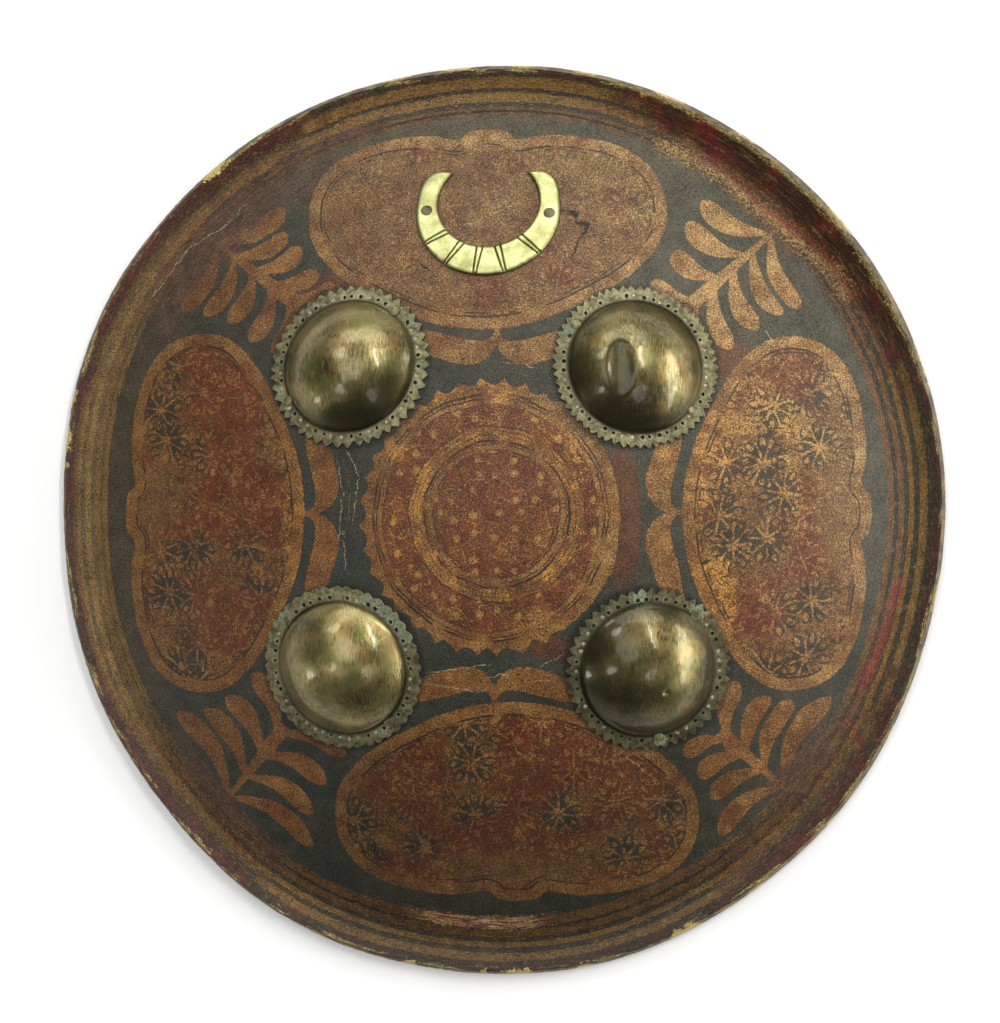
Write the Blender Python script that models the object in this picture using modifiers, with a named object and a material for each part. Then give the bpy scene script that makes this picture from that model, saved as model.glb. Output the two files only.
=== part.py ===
"""Dhal: a round hide shield, convex side up, with a turned-up lip, four pierced and toothed brass
bosses and a riveted brass crescent.  Run with: blender --background --python part.py

It lies on the flat ring under the channel inside its lip, at z = 0.  +Y is the crescent's side.
Lengths are metres, angles in the named values are degrees.
"""

import math

import bmesh
import bpy
from mathutils import Matrix, Vector

# Hide
RIM_RADIUS = 0.2262
# Waves round the outline: (waves in a turn, height as a share of the radius, turn of its crest).
OUT_OF_ROUND = (
    (1, 0.0070, 130.6),
    (2, 0.0129, 92.5),
    (3, 0.0067, 23.7),
    (4, 0.0019, 322.5),
    (5, 0.0012, 7.8),
    (6, 0.0012, 18.7),
    (8, 0.0013, 18.2),
    (9, 0.0015, 1.0),
)
HIDE_THICKNESS = 0.0045
CHANNEL_RADIUS = 0.211
ARCH_RADIUS = 0.294
LIP_WIDTH = 0.0145
LIP_EXTRA_WIDTH = 0.0055
LIP_ANGLE = 31.0
LIP_EXTRA_ANGLE = 9.0
BENT_SIDE = 45.0
BENT_SPREAD = 26.0
CHANNEL_FILLET = 0.007
FLAT_RING_HALF = 0.0025
FLAT_SNAP = 0.0010
HIDE_STEPS = 60
# The rings of the hide from its middle to the channel, as shares of the channel's radius.
BODY_RINGS = (0.0, 0.13, 0.26, 0.385, 0.5, 0.61, 0.71, 0.8, 0.88, 0.95, 1.0)
LIP_RINGS = (0.33, 0.68, 1.0)

# Bosses: the places are those of their middles on the hide.
GAP = 0.0003
BOSS_WALL = 0.0010
BOSS_TIP_RADIUS = 0.0408
BOSS_TOOTH = 0.0029
BOSS_DOME_RADIUS = 0.0318
BOSS_DOME_HEIGHT = 0.0170
BOSS_DOME_ANGLE = 57.0
BOSS_DOME_RINGS = (0.82, 0.62, 0.42, 0.2)
BOSS_STEPS = 30
# Name, x, y, number of teeth, depth of a tooth as a share of BOSS_TOOTH, turns of its two rivets.
BOSSES = (
    ("upper_left", -0.0686, 0.0745, 46, 1.0, (53, 208)),
    ("upper_right", 0.0692, 0.0738, 60, 0.8, (142, 322)),
    ("lower_left", -0.0721, -0.0710, 44, 0.45, (140, 308)),
    ("lower_right", 0.0755, -0.0714, 48, 1.0, (50, 282)),
)
BOSS_RIVET_RADIUS = 0.0352
DENTED_BOSS = "upper_right"
DENT_PLACE = (-0.0105, 0.0020)
DENT_HALF_SIZE = (0.0065, 0.0125)
DENT_DEPTH = 0.0042

# Crescent, in its own flat: x across, y up the shield, from the middle of its outer curve.
CRESCENT_PLACE = (-0.0030, 0.1513)
CRESCENT_RADIUS = 0.0354
CRESCENT_INNER_RADIUS = 0.0250
CRESCENT_INNER_RISE = 0.0049
HORN_SHOULDER = (0.0255, 0.0192)
HORN_TIP = (0.0184, 0.0213)
CRESCENT_THICKNESS = 0.0020
CRESCENT_CUTS = 3
CRESCENT_RIVETS = ((-0.0300, 0.0006), (0.0300, -0.0014))

# Rivets
RIVET_SHANK_RADIUS = 0.0010
RIVET_HEAD_RADIUS = 0.0024
RIVET_HEAD_HEIGHT = 0.0008
RIVET_TAIL_RADIUS = 0.0023
RIVET_TAIL_HEIGHT = 0.0011
RIVET_TAIL_GAP = 0.0007
COUNTERSINK_RADIUS = 0.0027
RIVET_STEPS = 8

BRASS_OLD = (0.29, 0.25, 0.12, 1.0)
BRASS_BRIGHT = (0.55, 0.55, 0.26, 1.0)
IRON = (0.16, 0.16, 0.13, 1.0)
LACQUER = (0.10, 0.055, 0.035, 1.0)


def clear_scene():
    for old in list(bpy.data.objects):
        bpy.data.objects.remove(old, do_unlink=True)


def new_collection(name):
    made = bpy.data.collections.new(name)
    bpy.context.scene.collection.children.link(made)
    return made


def new_material(name, colour, metallic, roughness):
    made = bpy.data.materials.new(name)
    made.use_nodes = True
    shader = made.node_tree.nodes["Principled BSDF"]
    shader.inputs["Base Color"].default_value = colour
    shader.inputs["Metallic"].default_value = metallic
    shader.inputs["Roughness"].default_value = roughness
    return made


def add_object(name, mesh, collection, material):
    made = bpy.data.objects.new(name, mesh)
    collection.objects.link(made)
    mesh.materials.clear()
    mesh.materials.append(material)
    return made


def make_mesh_of(thing):
    """The object's shape with its modifiers, as a mesh of its own."""
    view = bpy.context.evaluated_depsgraph_get()
    return bpy.data.meshes.new_from_object(thing.evaluated_get(view))


def smooth(mesh, angle):
    mesh.shade_smooth()
    mesh.set_sharp_from_angle(angle=math.radians(angle))


# ---- the surface of the hide ------------------------------------------------------------------


def bent_share(angle):
    """1 at the side where the lip was bent hardest, falling to 0 away from it."""
    away = math.remainder(angle - math.radians(BENT_SIDE), math.tau)
    return math.exp(-((away / math.radians(BENT_SPREAD)) ** 2))


def rim_radius(angle):
    waves = sum(h * math.cos(n * (angle - math.radians(t))) for n, h, t in OUT_OF_ROUND)
    return RIM_RADIUS * (1 + waves)


def lip_angle(angle):
    side = math.cos(angle - math.radians(BENT_SIDE))
    return math.radians(LIP_ANGLE + LIP_EXTRA_ANGLE * (side + bent_share(angle)) / 2)


def lip_width(angle):
    return LIP_WIDTH + LIP_EXTRA_WIDTH * bent_share(angle)


def channel_radius(angle):
    return rim_radius(angle) - lip_width(angle)


def hide_height(x, y):
    """Height of the painted face over the point x, y: an arched body that runs through a rounded
    channel, whose floor is level, into the rising lip."""
    angle = math.atan2(y, x)
    channel = channel_radius(angle)
    even = math.hypot(x, y) * CHANNEL_RADIUS / channel
    body = math.hypot(ARCH_RADIUS, CHANNEL_RADIUS) - math.hypot(ARCH_RADIUS, even)
    rise = math.tan(lip_angle(angle))
    lip = (math.hypot(x, y) - channel) * rise
    fall = CHANNEL_RADIUS / math.hypot(ARCH_RADIUS, CHANNEL_RADIUS)
    floor = CHANNEL_FILLET * math.sqrt(fall * rise) / (fall + rise)
    rounded = (body + lip + math.hypot(body - lip, CHANNEL_FILLET)) / 2
    return HIDE_THICKNESS + rounded - floor


def hide_normal(x, y):
    step = 0.0005
    along_x = hide_height(x + step, y) - hide_height(x - step, y)
    along_y = hide_height(x, y + step) - hide_height(x, y - step)
    return Vector((-along_x, -along_y, 2 * step)).normalized()


def hide_frame(x, y):
    """A frame that lies on the hide at x, y: its Z is the hide's normal and its Y points up the
    shield."""
    up = hide_normal(x, y)
    across = Vector((0, 1, 0)).cross(up).normalized()
    turn = Matrix((across, up.cross(across), up)).transposed()
    return Matrix.Translation((x, y, hide_height(x, y))) @ turn.to_4x4()


def rest_on_hide(frame, flat_x, flat_y, lift):
    """The point of the frame's flat at flat_x, flat_y, moved along Z onto the hide, then lifted."""
    point = frame @ Vector((flat_x, flat_y, 0))
    below = Vector((point.x, point.y, hide_height(point.x, point.y)))
    return below + hide_normal(point.x, point.y) * lift


def hide_ring_radius(step, angle):
    """Radius of ring number `step` of the hide at this angle."""
    channel = channel_radius(angle)
    inner = channel - FLAT_RING_HALF
    outer = channel + FLAT_RING_HALF
    edge = rim_radius(angle) - HIDE_THICKNESS * math.sin(lip_angle(angle))
    radii = [inner * share for share in BODY_RINGS] + [outer]
    radii += [outer + (edge - outer) * share for share in LIP_RINGS]
    return radii[step]


def make_hide(parts, material):
    """One turned sheet, moved ring by ring onto the hide's surface, then given its thickness."""
    rings = len(BODY_RINGS) + 1 + len(LIP_RINGS)
    profile = bpy.data.meshes.new("hide_profile")
    spots = [(step / rings, 0, 0) for step in range(rings)]
    profile.from_pydata(spots, [(i, i + 1) for i in range(rings - 1)], [])
    turned = bpy.data.objects.new("hide_turned", profile)
    parts.objects.link(turned)
    screw = turned.modifiers.new("turn", "SCREW")
    screw.steps = HIDE_STEPS
    screw.render_steps = HIDE_STEPS
    screw.use_merge_vertices = True
    screw.merge_threshold = 0.0001
    sheet = make_mesh_of(turned)
    bpy.data.objects.remove(turned, do_unlink=True)
    for vertex in sheet.vertices:
        angle = math.atan2(vertex.co.y, vertex.co.x)
        step = round(math.hypot(vertex.co.x, vertex.co.y) * rings)
        radius = hide_ring_radius(step, angle)
        x, y = radius * math.cos(angle), radius * math.sin(angle)
        vertex.co = (x, y, hide_height(x, y))
    solid = add_object("hide_sheet", sheet, parts, material)
    skin = solid.modifiers.new("thickness", "SOLIDIFY")
    skin.thickness = HIDE_THICKNESS
    skin.offset = -1
    skin.use_even_offset = True
    body = make_mesh_of(solid)
    bpy.data.objects.remove(solid, do_unlink=True)
    for vertex in body.vertices:
        if vertex.co.z < FLAT_SNAP:
            vertex.co.z = 0
    smooth(body, 35)
    return add_object("hide_shell", body, parts, material)


# ---- bosses -----------------------------------------------------------------------------------


def bridge(bm, outer, inner):
    """Triangles between two rings of unlike counts, both turning the same way."""
    a, b = 0, 0
    while a < len(outer) or b < len(inner):
        near, far = outer[a % len(outer)], inner[b % len(inner)]
        if (a + 1) * len(inner) <= (b + 1) * len(outer) and a < len(outer):
            bm.faces.new((near, outer[(a + 1) % len(outer)], far))
            a += 1
        else:
            bm.faces.new((near, inner[(b + 1) % len(inner)], far))
            b += 1


def dent(x, y):
    """How far the dent lowers the dome at x, y of the boss's flat."""
    along = (x - DENT_PLACE[0]) / DENT_HALF_SIZE[0]
    up = (y - DENT_PLACE[1]) / DENT_HALF_SIZE[1]
    return DENT_DEPTH * math.exp(-(along**2) - up**2)


def dome_point(frame, share, turn, dented):
    """A point of the dome's inner face, at this share of its base angle."""
    curve = BOSS_DOME_RADIUS / math.sin(math.radians(BOSS_DOME_ANGLE))
    tilt = math.radians(BOSS_DOME_ANGLE) * share
    radius = curve * math.sin(tilt)
    flat_x, flat_y = radius * math.cos(turn), radius * math.sin(turn)
    whole = 1 - math.cos(math.radians(BOSS_DOME_ANGLE))
    height = BOSS_DOME_HEIGHT * (1 - (1 - math.cos(tilt)) / whole)
    base = rest_on_hide(frame, *(BOSS_DOME_RADIUS * Vector((math.cos(turn), math.sin(turn)))), GAP)
    foot = (frame.inverted() @ base).z
    if dented:
        height -= dent(flat_x, flat_y)
    return frame @ Vector((flat_x, flat_y, height + foot))


def make_boss(parts, material, boss):
    """A sheet: a toothed flange that follows the hide and a dome raised from it."""
    name, x, y, teeth, tooth_share, _ = boss
    frame = hide_frame(x, y)
    bm = bmesh.new()
    edge = []
    for step in range(2 * teeth):
        turn = math.pi * step / teeth
        radius = BOSS_TIP_RADIUS - BOSS_TOOTH * tooth_share * (step % 2)
        place = rest_on_hide(frame, radius * math.cos(turn), radius * math.sin(turn), GAP)
        edge.append(bm.verts.new(place))
    outer = edge
    for share in (1.0, *BOSS_DOME_RINGS):
        turns = [math.tau * step / BOSS_STEPS for step in range(BOSS_STEPS)]
        ring = [bm.verts.new(dome_point(frame, share, t, name == DENTED_BOSS)) for t in turns]
        bridge(bm, outer, ring)
        outer = ring
    top = bm.verts.new(dome_point(frame, 0.0, 0.0, name == DENTED_BOSS))
    for step in range(BOSS_STEPS):
        bm.faces.new((outer[step], outer[(step + 1) % BOSS_STEPS], top))
    mesh = bpy.data.meshes.new(f"boss_{name}")
    bm.to_mesh(mesh)
    bm.free()
    made = add_object(f"boss_{name}", mesh, parts, material)
    wall = made.modifiers.new("wall", "SOLIDIFY")
    wall.thickness = BOSS_WALL
    wall.offset = 1
    smooth(mesh, 35)
    return made


# ---- crescent ---------------------------------------------------------------------------------


def arc(radius, rise, start, end, count):
    """Points on a circle round (0, rise), from start to end degrees."""
    turns = [math.radians(start + (end - start) * i / (count - 1)) for i in range(count)]
    return [(radius * math.cos(t), rise + radius * math.sin(t)) for t in turns]


def horn(side, count):
    """The outer edge of a horn, from the crescent's side to its tip, as a curve that leaves the
    round edge upright, passes the shoulder and meets the tip."""
    start = Vector((CRESCENT_RADIUS, 0))
    middle = Vector(HORN_SHOULDER)
    end = Vector(HORN_TIP)
    lean = Vector((CRESCENT_RADIUS, 2 * middle.y - (start.y + end.y) / 2))
    points = []
    for i in range(1, count):
        t = i / count
        spot = (1 - t) ** 2 * start + 2 * t * (1 - t) * lean + t**2 * end
        points.append((side * spot.x, spot.y))
    return points


def cut_across(bm, way, reach):
    """Cuts the flat plate into strips square to `way`, so that it can bend with the hide."""
    for step in range(-CRESCENT_CUTS, CRESCENT_CUTS + 1):
        everything = bm.verts[:] + bm.edges[:] + bm.faces[:]
        place = way * (reach * (step + 0.5) / (CRESCENT_CUTS + 1))
        bmesh.ops.bisect_plane(bm, geom=everything, plane_co=place, plane_no=way, dist=0.00005)


def make_crescent(parts, material):
    """A flat outline with its thickness, cut into strips and laid on the hide."""
    tip_turn = math.atan2(HORN_TIP[1] - CRESCENT_INNER_RISE, HORN_TIP[0])
    low = math.degrees(tip_turn)
    outline = arc(CRESCENT_RADIUS, 0, 180, 360, 21)
    outline += horn(1, 6) + [HORN_TIP]
    outline += arc(CRESCENT_INNER_RADIUS, CRESCENT_INNER_RISE, low, -180 - low, 23)[1:-1]
    outline += [(-HORN_TIP[0], HORN_TIP[1])] + horn(-1, 6)[::-1]
    data = bpy.data.curves.new("crescent_outline", "CURVE")
    data.dimensions = "2D"
    data.fill_mode = "BOTH"
    data.extrude = CRESCENT_THICKNESS / 2
    line = data.splines.new("POLY")
    line.points.add(len(outline) - 1)
    for point, (x, y) in zip(line.points, outline):
        point.co = (x, y, 0, 1)
    line.use_cyclic_u = True
    flat = bpy.data.objects.new("crescent_flat", data)
    parts.objects.link(flat)
    mesh = make_mesh_of(flat)
    bpy.data.objects.remove(flat, do_unlink=True)
    bm = bmesh.new()
    bm.from_mesh(mesh)
    bmesh.ops.remove_doubles(bm, verts=bm.verts, dist=0.00002)
    bmesh.ops.recalc_face_normals(bm, faces=bm.faces)
    cut_across(bm, Vector((1, 0, 0)), CRESCENT_RADIUS)
    cut_across(bm, Vector((0, 1, 0)), CRESCENT_RADIUS)
    frame = hide_frame(*CRESCENT_PLACE)
    for vertex in bm.verts:
        lift = GAP + CRESCENT_THICKNESS / 2 + vertex.co.z
        vertex.co = rest_on_hide(frame, vertex.co.x, vertex.co.y, lift)
    bm.to_mesh(mesh)
    bm.free()
    return add_object("crescent", mesh, parts, material)


# ---- rivets and their holes -------------------------------------------------------------------


def turned_object(name, profile, frame, collection, material):
    """A profile from the axis down its outer side and back to the axis, turned about Z."""
    mesh = bpy.data.meshes.new(name)
    mesh.from_pydata([(r, 0, z) for r, z in profile], [(i, i + 1) for i in range(len(profile) - 1)], [])
    made = add_object(name, mesh, collection, material)
    screw = made.modifiers.new("turn", "SCREW")
    screw.steps = RIVET_STEPS
    screw.render_steps = RIVET_STEPS
    screw.use_merge_vertices = True
    screw.merge_threshold = 0.0001
    made.matrix_world = frame
    return made


def tail_profile():
    """The back end of every rivet: the shank to just behind the hide, then the spread tail."""
    back = -HIDE_THICKNESS - RIVET_TAIL_GAP
    end = back - RIVET_TAIL_HEIGHT
    return [
        (RIVET_SHANK_RADIUS, back),
        (RIVET_TAIL_RADIUS, back),
        (RIVET_TAIL_RADIUS * 0.8, end + 0.0002),
        (0, end),
    ]


def add_hole(target, cutter):
    cut = target.modifiers.new("rivet_hole", "BOOLEAN")
    cut.operation = "DIFFERENCE"
    cut.solver = "EXACT"
    cut.object = cutter


def make_cutter(name, profile, frame, cutters, material):
    made = turned_object(name, profile, frame, cutters, material)
    made.display_type = "WIRE"
    made.hide_render = True
    return made


def boss_rivet(name, frame, parts, cutters, material, targets):
    under_head = GAP + BOSS_WALL + GAP
    profile = [
        (0, under_head + RIVET_HEAD_HEIGHT),
        (RIVET_HEAD_RADIUS * 0.7, under_head + RIVET_HEAD_HEIGHT * 0.75),
        (RIVET_HEAD_RADIUS, under_head),
        (RIVET_SHANK_RADIUS, under_head),
    ]
    turned_object(name, profile + tail_profile(), frame, parts, material)
    hole = RIVET_SHANK_RADIUS + GAP
    bore = [(0, 0.005), (hole, 0.005), (hole, -0.010), (0, -0.010)]
    cutter = make_cutter(f"{name}_hole", bore, frame, cutters, material)
    for target in targets:
        add_hole(target, cutter)


def crescent_rivet(name, frame, parts, cutters, material, targets):
    foot = GAP
    top = GAP + CRESCENT_THICKNESS
    profile = [
        (0, top),
        (COUNTERSINK_RADIUS, top),
        (RIVET_SHANK_RADIUS, foot),
    ]
    turned_object(name, profile + tail_profile(), frame, parts, material)
    hole = RIVET_SHANK_RADIUS + GAP
    flare = (COUNTERSINK_RADIUS - RIVET_SHANK_RADIUS) / CRESCENT_THICKNESS
    over = 0.001
    bore = [
        (0, top + over),
        (COUNTERSINK_RADIUS + GAP + flare * over, top + over),
        (hole, foot),
        (hole, -0.010),
        (0, -0.010),
    ]
    cutter = make_cutter(f"{name}_hole", bore, frame, cutters, material)
    for target in targets:
        add_hole(target, cutter)


def make_rivets(parts, cutters, brass, iron, hide, bosses, crescent):
    for boss, flange in zip(BOSSES, bosses):
        frame = hide_frame(boss[1], boss[2])
        for letter, turn in zip("ab", boss[5]):
            flat = Vector((math.cos(math.radians(turn)), math.sin(math.radians(turn)), 0))
            spot = frame @ (flat * BOSS_RIVET_RADIUS)
            name = f"rivet_{boss[0]}_{letter}"
            place = hide_frame(spot.x, spot.y)
            boss_rivet(name, place, parts, cutters, brass, (hide, flange))
    frame = hide_frame(*CRESCENT_PLACE)
    for side, (x, y) in zip(("left", "right"), CRESCENT_RIVETS):
        spot = frame @ Vector((x, y, 0))
        place = hide_frame(spot.x, spot.y)
        crescent_rivet(f"rivet_crescent_{side}", place, parts, cutters, iron, (hide, crescent))


def main():
    clear_scene()
    parts = new_collection("dhal_shield")
    cutters = new_collection("cutters")
    lacquer = new_material("lacquered_hide", LACQUER, 0.0, 0.4)
    brass = new_material("old_brass", BRASS_OLD, 1.0, 0.35)
    bright = new_material("bright_brass", BRASS_BRIGHT, 1.0, 0.35)
    iron = new_material("dark_iron", IRON, 1.0, 0.6)
    hide = make_hide(parts, lacquer)
    bosses = [make_boss(parts, brass, boss) for boss in BOSSES]
    crescent = make_crescent(parts, bright)
    make_rivets(parts, cutters, brass, iron, hide, bosses, crescent)


main()
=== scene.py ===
"""Looks of a round hide dhal: painted and lacquered hide with a turned-up lip, four pierced and
toothed brass bosses, a riveted brass crescent, and a pale studio floor to lie on."""

import math

import bpy
import numpy as np
from bpy.props import FloatProperty, FloatVectorProperty, PointerProperty
from mathutils import Matrix, Vector
from mathutils.geometry import delaunay_2d_cdt


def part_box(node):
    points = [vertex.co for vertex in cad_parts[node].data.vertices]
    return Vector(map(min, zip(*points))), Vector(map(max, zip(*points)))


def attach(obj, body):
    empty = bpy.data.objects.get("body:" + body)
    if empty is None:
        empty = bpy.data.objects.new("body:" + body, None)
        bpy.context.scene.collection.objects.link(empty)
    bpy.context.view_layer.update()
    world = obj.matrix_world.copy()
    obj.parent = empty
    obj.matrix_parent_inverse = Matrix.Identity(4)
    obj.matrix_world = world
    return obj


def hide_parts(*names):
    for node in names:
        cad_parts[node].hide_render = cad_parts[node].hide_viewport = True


bl_info = {
    "name": "Painted Hide Dhal",
    "version": (1, 0, 0),
    "blender": (4, 5, 0),
    "location": "View3D > Sidebar > Dhal",
    "description": "Builds the painted hide, the brass bosses, the crescent and the rivets of a dhal",
    "category": "Object",
}

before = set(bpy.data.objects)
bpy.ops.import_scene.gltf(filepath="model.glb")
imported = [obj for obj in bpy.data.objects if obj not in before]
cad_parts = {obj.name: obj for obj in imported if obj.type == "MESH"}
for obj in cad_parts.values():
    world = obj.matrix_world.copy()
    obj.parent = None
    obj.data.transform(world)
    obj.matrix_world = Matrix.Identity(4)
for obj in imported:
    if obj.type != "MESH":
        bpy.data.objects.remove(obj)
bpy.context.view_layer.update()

MM = 0.001

# ---- the hide's surface, the same as the solid's ----------------------------------------------

RIM_RADIUS = 0.2262
OUT_OF_ROUND = (
    (1, 0.0070, 130.6), (2, 0.0129, 92.5), (3, 0.0067, 23.7), (4, 0.0019, 322.5), (5, 0.0012, 7.8),
    (6, 0.0012, 18.7), (8, 0.0013, 18.2), (9, 0.0015, 1.0),
)
HIDE_THICKNESS = 0.0045
CHANNEL_RADIUS = 0.211
ARCH_RADIUS = 0.294
LIP_WIDTH = 0.0145
LIP_EXTRA_WIDTH = 0.0055
LIP_ANGLE = 31.0
LIP_EXTRA_ANGLE = 9.0
BENT_SIDE = 45.0
BENT_SPREAD = 26.0
CHANNEL_FILLET = 0.007
GAP = 0.0003
RIM_TRIM = 0.0002
# Broad unevenness of the hide: (waves per metre along x, along y, turn, height in metres).
UNEVEN = (
    (19, 7, 0.4, 0.00016), (-11, 23, 1.9, 0.00014), (31, -17, 3.3, 0.00010), (-37, -29, 5.1, 0.00007),
)


def rim_radius(angle):
    waves = sum(h * np.cos(n * (angle - math.radians(t))) for n, h, t in OUT_OF_ROUND)
    return RIM_RADIUS * (1 + waves)


def turn_between(angle, degrees):
    """The angle from a direction in degrees, between minus half a turn and half a turn."""
    away = angle - math.radians(degrees)
    return np.arctan2(np.sin(away), np.cos(away))


def bent_share(angle):
    return np.exp(-((turn_between(angle, BENT_SIDE) / math.radians(BENT_SPREAD)) ** 2))


def lip_angle(angle):
    side = np.cos(turn_between(angle, BENT_SIDE))
    return np.radians(LIP_ANGLE + LIP_EXTRA_ANGLE * (side + bent_share(angle)) / 2)


def channel_radius(angle):
    return rim_radius(angle) - LIP_WIDTH - LIP_EXTRA_WIDTH * bent_share(angle)


def hide_height(x, y):
    """Height of the painted face over x, y: an arched body, a level channel and a rising lip."""
    angle = np.arctan2(y, x)
    out = np.hypot(x, y)
    channel = channel_radius(angle)
    body = math.hypot(ARCH_RADIUS, CHANNEL_RADIUS)
    body = body - np.hypot(ARCH_RADIUS, out * CHANNEL_RADIUS / channel)
    rise = np.tan(lip_angle(angle))
    lip = (out - channel) * rise
    fall = CHANNEL_RADIUS / math.hypot(ARCH_RADIUS, CHANNEL_RADIUS)
    floor = CHANNEL_FILLET * np.sqrt(fall * rise) / (fall + rise)
    rounded = (body + lip + np.hypot(body - lip, CHANNEL_FILLET)) / 2
    waves = sum(h * np.sin(math.tau * (a * x + b * y) + c) for a, b, c, h in UNEVEN)
    return HIDE_THICKNESS + rounded - floor + waves - 0.0001


def edge_radius(angle):
    """From the middle to the cut edge, at the painted face."""
    return rim_radius(angle) - RIM_TRIM - HIDE_THICKNESS * np.sin(lip_angle(angle))


def hide_normal(x, y):
    step = 0.0004
    across = hide_height(x + step, y) - hide_height(x - step, y)
    along = hide_height(x, y + step) - hide_height(x, y - step)
    normal = np.stack([-across, -along, np.full_like(across, 2 * step)], -1)
    return normal / np.linalg.norm(normal, axis=-1, keepdims=True)


def toward(degrees):
    """A step of one in a direction."""
    return np.array([math.cos(math.radians(degrees)), math.sin(math.radians(degrees))])


def full_turn(count):
    return math.tau * np.arange(count) / count


def circle(turns, radius):
    return np.stack([radius * np.cos(turns), radius * np.sin(turns)], 1)


def middle_of(node):
    """The middle of a solid, seen from above."""
    low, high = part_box(node)
    return np.array([(low.x + high.x) / 2, (low.y + high.y) / 2])


class Flat:
    """A flat that lies on the hide at x, y, with its own x across and its own y up the shield."""

    def __init__(self, x, y):
        self.up = hide_normal(np.array(float(x)), np.array(float(y)))
        self.middle = np.array([x, y, float(hide_height(np.array(x), np.array(y)))])
        across = np.cross([0.0, 1.0, 0.0], self.up)
        self.across = across / np.linalg.norm(across)
        self.along = np.cross(self.up, self.across)

    def spread(self, flat):
        """Points of the flat, one row each, in the shield's frame."""
        return self.middle + flat[:, :1] * self.across + flat[:, 1:2] * self.along

    def rest(self, flat, lift):
        """Those points dropped onto the hide and lifted off it along its normal."""
        spots = self.spread(flat)
        normal = hide_normal(spots[:, 0], spots[:, 1])
        spots[:, 2] = hide_height(spots[:, 0], spots[:, 1])
        return spots + normal * np.reshape(lift, (-1, 1))

    def find(self, node):
        """Where the middle of a solid stands on the flat."""
        return (middle_of(node) - self.middle[:2]) / np.array([self.across[0], self.along[1]])


# ---- sizes and colours a user may change --------------------------------------------------------


def srgb(red, green, blue):
    """A colour given as 0 to 255, in the linear values that nodes use."""
    share = [c / 255 for c in (red, green, blue)]
    return (*[c / 12.92 if c <= 0.04045 else ((c + 0.055) / 1.055) ** 2.4 for c in share], 1.0)


def colour_property(name, description, default):
    return FloatVectorProperty(
        name=name, description=description, default=default, size=4, min=0, max=1, subtype="COLOR"
    )


def length_property(name, description, default):
    return FloatProperty(
        name=name, description=description, default=default, unit="LENGTH", subtype="DISTANCE"
    )


class PaintSettings(bpy.types.PropertyGroup):
    """The painted decoration."""

    field: colour_property("Field", "Dark ground of the painting", srgb(41, 45, 38))
    orange: colour_property("Orange", "Leaves, borders and rings", srgb(94, 56, 23))
    gold: colour_property("Gold", "Gold dust", srgb(134, 98, 50))
    maroon: colour_property("Maroon", "Ground of the ornament", srgb(80, 35, 17))
    green: colour_property("Green", "Dark petals", srgb(36, 38, 29))
    bare: colour_property("Bare hide", "Where the paint is chipped off", srgb(178, 160, 98))
    red: colour_property("Red", "Rubbed red lacquer", srgb(108, 20, 26))
    back: colour_property("Back", "Lacquer of the back", srgb(36, 24, 18))
    medallion_x: length_property("Medallion x", "Middle of the medallion's rings", 0.0037)
    medallion_y: length_property("Medallion y", "Middle of the medallion's rings", 0.0032)
    medallion_radius: length_property("Medallion radius", "To the tips of its edge", 0.0668)


class HideSettings(bpy.types.PropertyGroup):
    """The moulded hide."""

    fineness: length_property("Fineness", "Spacing of the painted face's points", 0.00168)


class BossSettings(bpy.types.PropertyGroup):
    """The four brass bosses."""

    wall: length_property("Wall", "Thickness of the sheet", 0.0010)
    tip_radius: length_property("Tip radius", "To the tips of the teeth", 0.0408)
    tooth: length_property("Tooth", "Depth of a tooth", 0.0029)
    dome_radius: length_property("Dome radius", "Foot of the dome, inside", 0.0318)
    dome_height: length_property("Dome height", "Rise of the dome", 0.0170)
    hole_ring: length_property("Hole ring", "Radius of the ring of holes", 0.0353)
    hole_radius: length_property("Hole radius", "Radius of a pierced hole", 0.00098)
    brass: colour_property("Old brass", "Polished parts of the old brass", srgb(140, 127, 82))
    tarnish: colour_property("Tarnish", "Brown tarnish", srgb(54, 45, 27))
    verdigris: colour_property("Verdigris", "Green corrosion", srgb(126, 130, 102))


class CrescentSettings(bpy.types.PropertyGroup):
    """The brass crescent."""

    thickness: length_property("Thickness", "Thickness of the plate", 0.0020)
    radius: length_property("Radius", "Outer curve", 0.0354)
    inner_radius: length_property("Inner radius", "Inner curve", 0.0250)
    inner_rise: length_property("Inner rise", "Middle of the inner curve above the outer's", 0.0049)
    groove: length_property("Groove", "Depth of the cut lines", 0.0009)
    brass: colour_property("Bright brass", "Colour of the crescent", srgb(192, 196, 138))


class StageSettings(bpy.types.PropertyGroup):
    """Floor, lights and camera."""

    distance: length_property("Camera distance", "From the shield", 1.24)
    lean: FloatProperty(
        name="Lean", description="How far the camera leans to the right",
        default=math.radians(4.227), unit="ROTATION", subtype="ANGLE",
    )
    lens: FloatProperty(name="Lens", description="Focal length in mm", default=87.3)
    sky: FloatProperty(name="Sky", description="Strength of the even light", default=1.0)


# ---- nodes --------------------------------------------------------------------------------------


class Wire:
    """An output of a node. Sums and products of wires are Math nodes, and the masks are nodes too."""

    def __init__(self, nodes, socket):
        self.nodes = nodes
        self.socket = socket

    def __abs__(self):
        return self.nodes.math("ABSOLUTE", self)

    def step(self, low, high):
        """0 below low, 1 above high, and smooth between. Low may be the greater."""
        given = {"Value": self, "From Min": low, "From Max": high}
        smooth = {"interpolation_type": "SMOOTHSTEP", "clamp": True}
        return self.nodes.wire("MapRange", given, "Result", **smooth)

    def band(self, low, high, soft):
        """1 between low and high."""
        return self.step(low - soft, low + soft) * self.step(high + soft, high - soft)

    def line(self, half, soft):
        """1 where the value is within half of zero."""
        return abs(self).step(half + soft, half)

    def mix(self, mask, colour):
        """This colour with another laid over it where the mask is 1."""
        return self.nodes.mix(mask, self, colour)


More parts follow.
